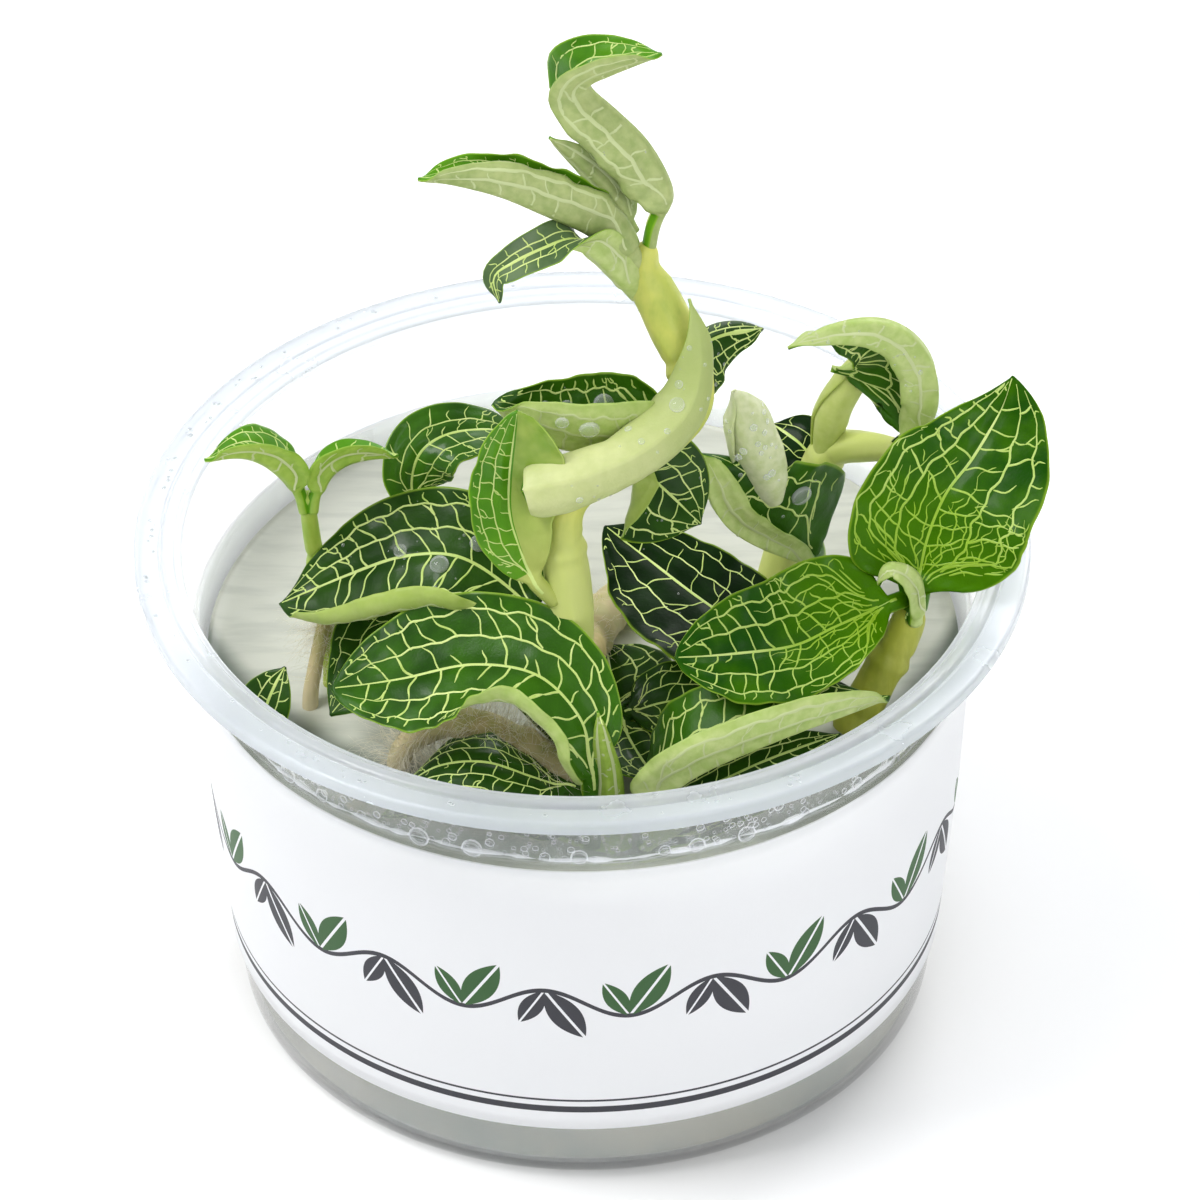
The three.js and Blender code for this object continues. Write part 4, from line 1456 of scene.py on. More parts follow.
    def tangle(self, sign: int, half: Half) -> list[Vein]:
        """Fine streams that fan out from the base between the main veins, with short side veins.

        Args:
            sign: -1 for the left half, 1 for the right one.
            half: the half.

        Returns:
            The veins.
        """
        dice = self.chance
        found: list[Vein] = []
        clear = 0.05
        for lane in np.linspace(0.1, 0.93, max(4, round(half.width / 1.3))):
            if min(abs(lane - self.INNER), abs(lane - self.OUTER)) < clear:
                continue
            start = self.stalk + dice.uniform(0.02, 0.1)
            end = start + dice.uniform(0.3, 0.52)
            found.append(self.long_vein(sign * lane, start, end, 0.22, dice.uniform(0.3, 0.6), 0.03))
            t = start + 0.06
            while t < end:
                aside = lane + dice.choice((-1, 1)) * dice.uniform(0.08, 0.14)
                ahead = t + dice.uniform(0.6, 1.6) / self.length
                spot = (ahead, sign * min(0.95, max(0.03, aside)))
                found.append(self.dash((t, sign * lane), spot, 0.12, 0.17, dice.uniform(0.2, 0.5)))
                t += dice.uniform(2.2, 4.6) / self.length
        return found

    def under_veins(self) -> list[Vein]:
        """The few broad faint veins of the underside.

        Returns:
            The veins.
        """
        veins = []
        for sign, half in self.halves:
            veins.append(self.long_vein(sign * self.INNER, self.stalk + 0.04, 0.96, 0.5, 0.6, 0.015))
            if half.width > self.BROAD:
                veins.append(self.long_vein(sign * self.OUTER, self.stalk + 0.1, 0.93, 0.4, 0.4, 0.02))
            veins += self.rungs(sign, 0.0, self.INNER, 3.6, 0.4, 0.4)
            veins += self.rungs(sign, self.INNER, 0.8, 3.4, 0.34, 0.3)
        return veins

    def build(self, finish: Finish, slot: str) -> None:
        """Builds the leaf with its veins, and ties it to its node.

        Args:
            finish: all the materials.
            slot: the record's material slot.
        """
        parts = [self.blade(finish)]
        if self.net is not Net.FAINT:
            parts.append(self.ribbons(self.net_veins(), False, finish.vein))
            parts.append(self.ribbons(self.under_veins(), True, finish.vein_under))
        report(join(parts), slot, self.name)


# ---------- Stems, roots and buds


@dataclass
class Shoot:
    """A stem or a root: a round shoot along a spine, swollen at its joints. Sizes are in mm."""

    name: str
    spine: list[Point]
    radius: Amount
    joints: tuple[float, ...] = ()

    SIDES = 32
    FACE = 0.4

    def __post_init__(self) -> None:
        """Lays the curve."""
        self.curve = Spine(self.spine)
        self.length = self.curve.length

    def frames(self, t: Array) -> tuple[Array, Array, Array]:
        """Points along the shoot, with two directions across it that don't twist.

        Args:
            t: stations along the shoot.

        Returns:
            The points and the two directions, one row a station.
        """
        at, ahead = self.curve.at(t)
        side = np.zeros_like(at)
        now = np.array([1.0, 0.0, 0.0])
        for i, way in enumerate(ahead):
            now = unit(now - way * now.dot(way))
            side[i] = now
        return at, side, np.cross(ahead, side)

    def skin(self, t: Array, turn: Array) -> Arrays:
        """Points on the skin.

        Args:
            t: stations along the shoot, one a row.
            turn: angles round it.

        Returns:
            The points and the outward directions, in rows of one station.
        """
        at, side, other = self.frames(t)
        radius = along(self.radius, t)
        for joint in self.joints:
            off = (t - joint) * self.length
            knob = 0.28 * np.exp(-((off / 0.8) ** 2))
            radius = radius + knob - 0.16 * np.exp(-(((off - 1.5) / 0.5) ** 2))
        ends = np.minimum(t, 1 - t) * self.length
        near, nearer = (np.clip(ends / size, 0, 1) for size in (np.maximum(radius, 0.1), radius))
        radius = radius * np.sqrt(near * (2 - nearer))
        lump = 1 + 0.025 * np.cos(3 * turn[None] + 9 * t[:, None])
        lump = lump + 0.02 * np.sin(7 * turn[None] + 31 * t[:, None])
        out = np.cos(turn)[None, :, None] * side[:, None] + np.sin(turn)[None, :, None] * other[:, None]
        return at[:, None] + out * (radius[:, None] * lump)[..., None], out

    def build(self, material: Material, slot: str) -> None:
        """Builds the shoot, and ties it to its node.

        Args:
            material: its skin.
            slot: the record's material slot.
        """
        rows = max(30, round(self.length / self.FACE))
        piece, around, t = sheet(self.name + "_skin", self.SIDES, rows)
        levels, row = stations(t)
        turns, column = stations(around)
        points, _ = self.skin(levels, turns * 2 * math.pi)
        put(piece, points[row, column])
        edit(
            piece,
            (bpy.ops.mesh.remove_doubles, {"threshold": 2 * WELD}),
            (bpy.ops.mesh.normals_make_consistent, OUTWARDS),
        )
        dress(piece, material)
        report(piece, slot, self.name)


@dataclass
class Scroll(Shoot):
    """A young leaf that is still rolled up, its free edge winding round it."""

    TURNS = 1.3
    COLUMNS = 72
    FACE = 0.3
    THICKNESS = 0.32

    def build(self, material: Material, slot: str) -> None:
        """Builds the rolled sheet, and ties it to its node.

        Args:
            material: its skin.
            slot: the record's material slot.
        """
        rows = max(40, round(self.length / self.FACE))
        piece, across, t = sheet(self.name + "_scroll", self.COLUMNS, rows)
        levels, row = stations(t)
        at, side, other = self.frames(levels)
        turn = across * self.TURNS * 2 * math.pi + 1.7 * t + 0.9
        point = np.clip((1 - t) * self.length / 3.0, 0.04, 1) ** 0.6
        foot = np.clip(t * self.length / 1.2, 0.3, 1) ** 0.5
        radius = along(self.radius, t) * (0.8 + 0.24 * across)
        radius = radius * point * foot * (1 + 0.03 * np.sin(5 * turn + 6 * t))
        out = np.cos(turn)[:, None] * side[row] + np.sin(turn)[:, None] * other[row]
        put(piece, at[row] + out * radius[:, None])
        edit(piece, (bpy.ops.mesh.normals_make_consistent, OUTWARDS))
        dress(piece, material)
        apply(piece, "SOLIDIFY", thickness=self.THICKNESS * MM, offset=0.0)
        report(piece, slot, self.name)


@dataclass
class Hairs:
    """Fine root hairs that stand out of a shoot. Sizes are in millimetres.

    span is the stretch of the shoot that carries them, each end from 0 to 1.
    """

    name: str
    count: int
    length: float
    thickness: float
    span: Pair

    DROOP = -0.12
    STEPS = 5
    SIDES = 3
    SIDE_TURN = 2.0944

    def strand(self, root: Array, way: Array, dice: random.Random) -> list[Point]:
        """One hair, which strays and droops as it grows.

        Args:
            root: where it leaves the skin.
            way: the way that it sets out.
            dice: the source of chance.

        Returns:
            Its corners, ring by ring.
        """
        corners: list[Point] = []
        spot = root - way * 0.15
        drift = np.array([dice.gauss(0, 0.5) for _ in range(3)])
        reach = self.length * dice.uniform(0.4, 1.25)
        for k in range(self.STEPS + 1):
            thin = self.thickness / 2 * (1 - 0.75 * k / self.STEPS)
            one = unit(np.cross(way, drift + 0.01))
            two = np.cross(unit(way), one)
            for side in range(self.SIDES):
                a = side * self.SIDE_TURN
                corners.append(tuple(spot + thin * (math.cos(a) * one + math.sin(a) * two)))
            way = unit(way + drift * 0.35 + np.array([0, 0, self.DROOP]))
            drift = drift + np.array([dice.gauss(0, 0.25) for _ in range(3)])
            spot = spot + way * reach / self.STEPS
        return corners

    def build(self, shoot: Shoot, material: Material, slot: str) -> None:
        """Builds the hairs of one shoot.

        Args:
            shoot: what carries them.
            material: their finish.
            slot: the record's slot.
        """
        dice = random.Random(self.name)
        corners: list[Point] = []
        faces: Faces = []
        t = np.sort(np.array([dice.uniform(*self.span) for _ in range(self.count)]))
        turn = np.array([dice.uniform(0, 2 * math.pi) for _ in range(self.count)])
        skin, out = shoot.skin(t, turn)
        for i in range(self.count):
            first = len(corners)
            corners += self.strand(skin[i, i], out[i, i], dice)
            for k in range(self.STEPS):
                for side in range(self.SIDES):
                    a = first + self.SIDES * k + side
                    b = first + self.SIDES * k + (side + 1) % self.SIDES
                    faces.append((a, b, b + self.SIDES, a + self.SIDES))
            last = first + self.SIDES * self.STEPS
            faces += [(first + 2, first + 1, first), (last, last + 1, last + 2)]
        piece = worked(self.name, np.array(corners), faces)
        dress(piece, material)
        report(piece, slot)


# ---------- Water


@dataclass
class Drops:
    """Drops of water, each copied from one modelled drop. Sizes are in millimetres.

    sink is how much of a drop's lower half is kept.
    """

    name: str
    rings: int = 6
    sides: int = 12
    sink: float = 0.35
    spots: list[tuple[Array, Array, float, float]] = field(default_factory=list)

    def add(self, spot: Array, normal: Array, radius: float, rise: float = 0.62) -> None:
        """Lays a drop.

        Args:
            spot: where it sits.
            normal: the way that the surface faces there.
            radius: its radius.
            rise: its height over its radius.
        """
        self.spots.append((np.asarray(spot, float), unit(np.asarray(normal, float)), radius, rise))

    def build(self, material: Material, slot: str) -> None:
        """Builds all the drops as one object.

        Args:
            material: their finish.
            slot: the record's slot.
        """
        clear_selection()
        bpy.ops.mesh.primitive_uv_sphere_add(segments=self.sides, ring_count=self.rings, radius=1.0)
        ball = bpy.context.object
        shape = places(ball)
        polygons = [tuple(p.vertices) for p in ball.data.polygons]
        bpy.data.objects.remove(ball)
        low = np.where(shape[:, 2] < 0, shape[:, 2] * self.sink, shape[:, 2])
        off = np.hypot(shape[:, 0], shape[:, 1])
        corners: list[Array] = []
        faces: Faces = []
        for spot, normal, radius, rise in self.spots:
            spin = np.array(Vector((0, 0, 1)).rotation_difference(Vector(normal)).to_matrix())
            sized = np.stack([shape[:, 0] * radius, shape[:, 1] * radius, low * radius * rise], -1)
            faces += [tuple(i + len(shape) * len(corners) for i in face) for face in polygons]
            corners.append(sized @ spin.T + spot)
        piece = worked(self.name, np.concatenate(corners), faces)
        # the tone rises towards each drop's rim, where its material paints the highlight ring
        shade(piece, np.tile(off, len(corners)))
        dress(piece, material)
        report(piece, slot)


# ---------- Cup, gel and label


@dataclass(frozen=True)
class Cup:
    """The clear cup with its flat rim, and what it holds and wears. Sizes are in millimetres."""

    finish: Finish
    wall: float = 0.7
    foot_radius: float = 39.6
    foot_ring: float = 32.0
    dish: float = 0.8
    ledge: float = 49.9
    neck: float = 55.5
    mouth: float = 44.7
    ridge: float = 46.2
    rim: float = 50.0
    height: float = 60.5
    lip: float = 1.6
    gel_foot: float = 1.3
    gel_top: float = 45.0
    gel_gap: float = 0.06
    label_low: float = 8.3
    label_high: float = 48.5
    label_gap: float = 0.3
    paper: float = 0.3
    opening: float = 5.0
    steps: int = 256

    PROFILE = ((39.9, 5.0), (42.0, 28.0), (43.3, 48.8), (43.9, 49.9), (44.6, 55.5))
    FRONT = -math.pi / 2

    def outside(self, z: float) -> float:
        """The wall's outer radius at a height."""
        return float(np.interp(z, [p[1] for p in self.PROFILE], [p[0] for p in self.PROFILE]))

    def shell(self) -> None:
        """Builds the moulded cup: wall, ledge, rim with its raised ring, and turned-down lip."""
        r, h, w = self.rim, self.height, self.wall
        corners = [
            (0.0, self.dish, 0),
            (self.foot_ring - 2.0, self.dish, 0.6),
            (self.foot_ring, 0.0, 0.6),
            (self.foot_radius, 0.0, 2.2),
            *[(x, z, 0.5) for x, z in self.PROFILE],
            (self.mouth + w, h - 1.9, 0.8),
            (r - 0.75, h - 1.25, 0.4),
            (r - 0.7, h - self.lip, 0.15),
            (r, h - self.lip, 0.15),
            (r, h, 0.55),
            (self.ridge + 1.15, h - 0.15, 0.3),
            (self.ridge + 0.9, h - 0.6, 0.25),
            (self.ridge + 0.5, h + 0.02, 0.35),
            (self.ridge - 0.5, h + 0.02, 0.35),
            (self.ridge - 0.8, h - 0.35, 0.2),
            (self.mouth, h - 0.35, 0.5),
            *[(x - w, z, 0.5) for x, z in reversed(self.PROFILE)],
            (self.foot_radius - w, w, 1.8),
            (self.foot_ring + 0.5, w, 0.4),
            (self.foot_ring - 1.5, self.dish + w, 0.4),
            (0.0, self.dish + w, 0),
        ]
        piece = spun("cup_shell", smooth_outline(corners), self.steps)
        dress(piece, self.finish.wall, self.finish.rim)
        heights = places(piece)[:, 2] / MM
        milky = h - 2.4
        for face in piece.data.polygons:
            middle = sum(heights[i] for i in face.vertices) / len(face.vertices)
            face.material_index = 1 if middle > milky else 0
        report(piece, "clear_plastic", "cup")

    def gel(self) -> None:
        """Builds the gel, climbing a little at the wall, with its top gently uneven."""
        inset = self.wall + self.gel_gap
        top, foot = self.gel_top, self.gel_foot
        edge = self.outside(top) - inset
        corners = [
            (0.0, foot + 0.6, 0),
            (self.foot_ring - 1.0, foot + 0.6, 0.4),
            (self.foot_ring + 1.0, foot, 0.4),
            (self.foot_radius - inset, foot, 1.8),
            *[(x - inset, z, 0.5) for x, z in self.PROFILE if z < top],
            (edge, top + 0.6, 0.15),
            (edge - 0.5, top + 0.2, 0.3),
            (edge - 1.6, top, 0.6),
            *[(x, top, 0) for x in np.linspace(edge - 3, 1.5, 26)],
            (0.0, top, 0),
        ]
        piece = spun("gel_body", smooth_outline(corners), 160)
        spots = places(piece) / MM
        x, y = spots[:, 0], spots[:, 1]
        inner = 1 - eased((np.hypot(x, y) - edge + 4) / 3)
        swell = 0.12 * np.sin(x * 0.31 + y * 0.12 + 1) + 0.1 * np.sin(y * 0.43 - x * 0.2)
        swell = swell + 0.05 * np.sin(x * 0.9 + y)
        spots[:, 2] += np.where(spots[:, 2] > top - 0.1, swell * inner, 0.0)
        put(piece, spots)
        dress(piece, self.finish.gel)
        report(piece, "nutrient_gel", "gel")

    def label(self) -> None:
        """Builds the paper band, its ends nearly meeting at the back."""
        piece, around, up = sheet("label_band", 288, 24)
        z = self.label_low + (self.label_high - self.label_low) * up
        radius = np.array([self.outside(h) for h in z]) + self.label_gap + self.paper
        gap = self.opening / self.outside(self.label_high) / 2
        turn = math.pi / 2 + gap + around * (2 * math.pi - 2 * gap)
        lift = 0.06 * np.exp(-(((up - 1.0) / 0.03) ** 2)) * np.sin(turn * 7)
        radius = radius + 0.05 * np.sin(turn * 3) * up + lift
        put(piece, np.stack([radius * np.cos(turn), radius * np.sin(turn), z], -1))
        # the inner side of the paper takes the painted glow
        dress(piece, self.finish.paper, self.finish.painted_glow)
        apply(piece, "SOLIDIFY", thickness=self.paper * MM, offset=-1.0, material_offset=1)
        report(piece, "label_paper", "label")

    def hang(self, drops: Drops, turn: float, z: float, radius: float, rise: float) -> None:
        """Lays a drop on the inside of the wall.

        Args:
            drops: the drops.
            turn: the angle round the cup.
            z: the height.
            radius: the drop's radius.
            rise: its height over its radius.
        """
        way = np.array([math.cos(turn), math.sin(turn), 0.0])
        inside = (self.outside(z) if z < self.neck else self.mouth + self.wall) - self.wall - 0.03
        drops.add(way * inside + np.array([0.0, 0.0, z]), -way, radius, rise)

    def condensation(self) -> None:
        """Builds fine drops inside the neck, a row of large ones on the ledge, and a few on the rim."""
        fine, large, few = 640, 17, 60
        dice = random.Random("condensation")
        drops = Drops("cup_condensation", 6, 12, 0.02)
        for _ in range(fine):
            z = dice.uniform(self.ledge, 58.0)
            size = min(0.12 + dice.expovariate(9.0), 0.6)
            turn = self.FRONT + max(-1.3, min(1.3, dice.gauss(0.0, 0.75)))
            self.hang(drops, turn, z, size, 0.5)
        for k in range(large):
            turn = self.FRONT + (k - large // 2 + dice.uniform(-0.35, 0.35)) * 0.15
            z = self.ledge + dice.uniform(0.0, 0.4)
            self.hang(drops, turn, z, dice.uniform(0.45, 1.25), 0.45)
        for _ in range(few):
            turn = dice.gauss(math.pi, 0.8)
            radius = dice.uniform(self.ridge + 1.4, self.rim - 1.0)
            spot = np.array([radius * math.cos(turn), radius * math.sin(turn), self.height - 0.1])
            drops.add(spot, np.array([0.0, 0.0, 1.0]), dice.uniform(0.1, 0.3), 0.5)
        drops.build(self.finish.mist, "clear_plastic")

    def bead(self) -> None:
        """Builds the uneven bead of water that lies along the ledge at the front, painted all over as a
        bright highlight.
        """
        clear_selection()
        middle = self.outside(self.ledge) - self.wall - 0.12
        bpy.ops.mesh.primitive_torus_add(
            major_segments=480, minor_segments=6, major_radius=middle * MM, minor_radius=0.2 * MM
        )
        piece = bpy.context.object
        piece.name = piece.data.name = "cup_bead"
        spots = places(piece) / MM
        turn = np.arctan2(spots[:, 1], spots[:, 0])
        swell = 1 + 0.5 * np.sin(23 * turn) + 0.4 * np.sin(61 * turn + 1) + 0.3 * np.sin(97 * turn)
        swell = swell * eased(0.35 - np.sin(turn))
        ring = np.stack([np.cos(turn), np.sin(turn), np.zeros(len(turn))], -1) * middle
        spots = ring + (spots - ring) * np.clip(swell, 0.02, 2.0)[:, None]
        spots[:, 2] += 49.7 + 0.12 * np.sin(9 * turn) + 0.1 * np.sin(31 * turn)
        put(piece, spots)
        # a tone of 1 everywhere paints the whole bead in the bright highlight colour of its material
        shade(piece, np.ones(len(spots)))
        dress(piece, self.finish.mist)
        report(piece, "clear_plastic")


# ---------- Studio


@dataclass(frozen=True)
class Studio:
    """The pale floor, the soft lights and the camera. Places are in metres.

    eye is where the camera stands, look the way that it looks, and middle what the lights face.
    """

    middle: Point = (0.0, 0.0, 0.06)
    eye: Point = (0.0, -0.70667, 0.61451)
    look: Point = (0.00214, 0.78195, -0.62333)
    roll: float = -0.0094
    lens: float = 241.8

    def camera(self) -> None:
        """Stands the camera."""
        data = bpy.data.cameras.new("camera")
        data.sensor_width = 36.0
        data.lens = self.lens
        data.clip_end = 20.0
        camera = bpy.data.objects.new("camera", data)
        camera.location = self.eye
        aim = Vector(self.look).to_track_quat("-Z", "Y")
        camera.rotation_mode = "QUATERNION"
        camera.rotation_quaternion = aim @ Quaternion((0.0, 0.0, 1.0), self.roll)
        bpy.context.scene.collection.objects.link(camera)
        bpy.context.scene.camera = camera

    def light(self, name: str, spot: Point, size: float, power: float) -> None:
        """Hangs a square soft light that faces the plant.

        Args:
            name: its name.
            spot: where it hangs, in metres.
            size: the length of its side in metres.
            power: its power in watts.
        """
        data = bpy.data.lights.new(name, "AREA")
        data.size = size
        data.energy = power
        lamp = bpy.data.objects.new(name, data)
        lamp.location = spot
        aim = Vector(self.middle) - Vector(spot)
        lamp.rotation_euler = aim.to_track_quat("-Z", "Y").to_euler()
        bpy.context.scene.collection.objects.link(lamp)

    def build(self) -> None:
        """Sets up the whole studio."""
        scene = bpy.context.scene
        scene.view_settings.view_transform = "Standard"
        world = bpy.data.worlds.new("studio")
        world.use_nodes = True
        backdrop = world.node_tree.nodes["Background"]
        backdrop.inputs["Color"].default_value = (0.96, 0.98, 1.0, 1.0)
        backdrop.inputs["Strength"].default_value = 0.5
        scene.world = world
        self.light("key", (-0.45, -0.1, 0.75), 0.4, 5.5)
        self.light("back", (0.3, 0.6, 0.55), 0.5, 4.0)
        self.light("front", (0.45, -0.8, 0.65), 0.6, 4.0)
        clear_selection()
        bpy.ops.mesh.primitive_plane_add(size=6.0, location=(0, 0, -0.0004))
        floor = bpy.context.object
        floor.name = "floor"
        s = Shader("floor_white")
        floor.data.materials.append(s.finish(Base_Color=(0.93, 0.93, 0.93), Roughness=0.9))
        self.camera()


# ---------- Control points, in millimetres

BACK = (0.0, 0.78, -0.62)
FLAT = (0, -0.2, 1)


def halves(
    left: float, right: float, base: float = 0.5, tip: float = 0.75, *, fold: float, curl: float
) -> dict[str, Half]:
    """Both halves of a leaf, where they differ in width alone."""
    return {"left": Half(left, base, tip, fold, curl), "right": Half(right, base, tip, fold, curl)}


SHOOTS = [
    Shoot(
        "stem_main",
        spine=[
            (1, -25, 38), (0.5, -24.5, 45), (-0.5, -22.5, 52.5), (-1, -20.5, 62), (-1.5, -19.5, 68.5),
            (-2, -19, 74.5), (-1.5, -18.5, 79), (1, -17.5, 81.5), (5, -16, 82.5), (9, -13.5, 84),
            (12, -11, 87), (11.5, -8.5, 91), (9, -6, 96), (7, -5, 100.5), (7.5, -4.5, 104),
        ],
        radius=(2, 2, 1.9, 1.9, 2, 2.6, 2.5, 2, 1.9, 1.9, 2.1, 2.3, 2.6, 2.4, 1.1),
        joints=(0.17, 0.46, 0.63, 0.8),
    ),
    Shoot(
        "stem_sprout",
        spine=[
            (-28, -7, 38), (-28, -6.5, 44), (-28, -6, 50), (-28.5, -5.5, 56), (-29.5, -5.5, 62),
            (-30, -6.5, 68), (-30, -8, 73),
        ],
        radius=(1.2, 1.2, 1.1, 1, 1, 0.95, 0.8), joints=(0.36, 0.66),
    ),
    Shoot(
        "stem_back_left", spine=[(-21, 2, 38), (-21, 2, 44), (-19.5, 3, 51.5), (-18.5, 3.5, 61.5)],
        radius=(1.1, 1.1, 1, 0.9),
    ),
    Shoot(
        "stem_right",
        spine=[
            (29.5, -15.5, 37), (30, -15, 44), (31.5, -14, 48), (33.5, -13, 52), (35.5, -12, 56),
            (36.5, -11.5, 59.5),
        ],
        radius=(2.3, 2.3, 2.3, 2.2, 2.1, 1.7), joints=(0.34, 0.68),
    ),
    Shoot(
        "stem_back_right",
        spine=[
            (20.5, 4, 37), (20.5, 4, 44), (22.5, 6, 53), (25, 7.5, 61), (28, 7, 66.5), (32, 4.5, 69),
            (35.5, 1, 71),
        ],
        radius=(2, 2, 2, 2, 2.1, 1.8, 1.3), joints=(0.45, 0.72),
    ),
    Shoot("stem_rosette", spine=[(4, -15, 39), (4, -15.5, 43), (4, -16, 47.4)], radius=(1.5, 1.5, 1.2)),
    Shoot(
        "stem_small_left", spine=[(-36, -14, 39), (-36, -15, 43), (-36, -16, 47)], radius=(0.9, 0.9, 0.8),
    ),
    Shoot(
        "root_creeping",
        spine=[
            (-1, -21, 59), (0, -14, 55), (1, -5, 50), (3, 3, 47.6), (7.5, 7.5, 47.6), (13.5, 12, 45),
            (15, 13.5, 41),
        ],
        radius=(1.8, 2.2, 2.3, 2.4, 2.3, 1.9, 1.5), joints=(0.2, 0.38, 0.55, 0.72),
    ),
    Shoot(
        "root_hairy",
        spine=[
            (-0.5, -27, 47.5), (-3.5, -26, 49), (-7.5, -24.5, 51), (-11.5, -23, 52), (-16, -21.5, 51),
            (-20, -21, 47), (-21, -21, 41),
        ],
        radius=(1.8, 2, 1.9, 1.7, 1.5, 1.3, 1), joints=(0.25, 0.5),
    ),
    Shoot(
        "root_left", spine=[(-28.4, -6.5, 55.5), (-29.5, -8.5, 51), (-30.5, -10.5, 46), (-30.5, -11.5, 40)],
        radius=(0.8, 0.8, 0.9, 0.9),
    ),
]
BUDS = [
    Scroll(
        "bud_rolled",
        spine=[(20.9, -3, 67), (20.4, -3.5, 71), (19, -3.5, 76.5), (17.8, -3, 80.5), (16.8, -3, 82.5)],
        radius=(1.4, 2.4, 2.9, 2.6, 1.5),
    ),
    Scroll(
        "bud_sheath", spine=[(27, 7, 65.5), (28, 7, 72), (30, 7, 76.5), (32, 6.5, 81.5)],
        radius=(1.2, 2, 1.8, 0.5),
    ),
]
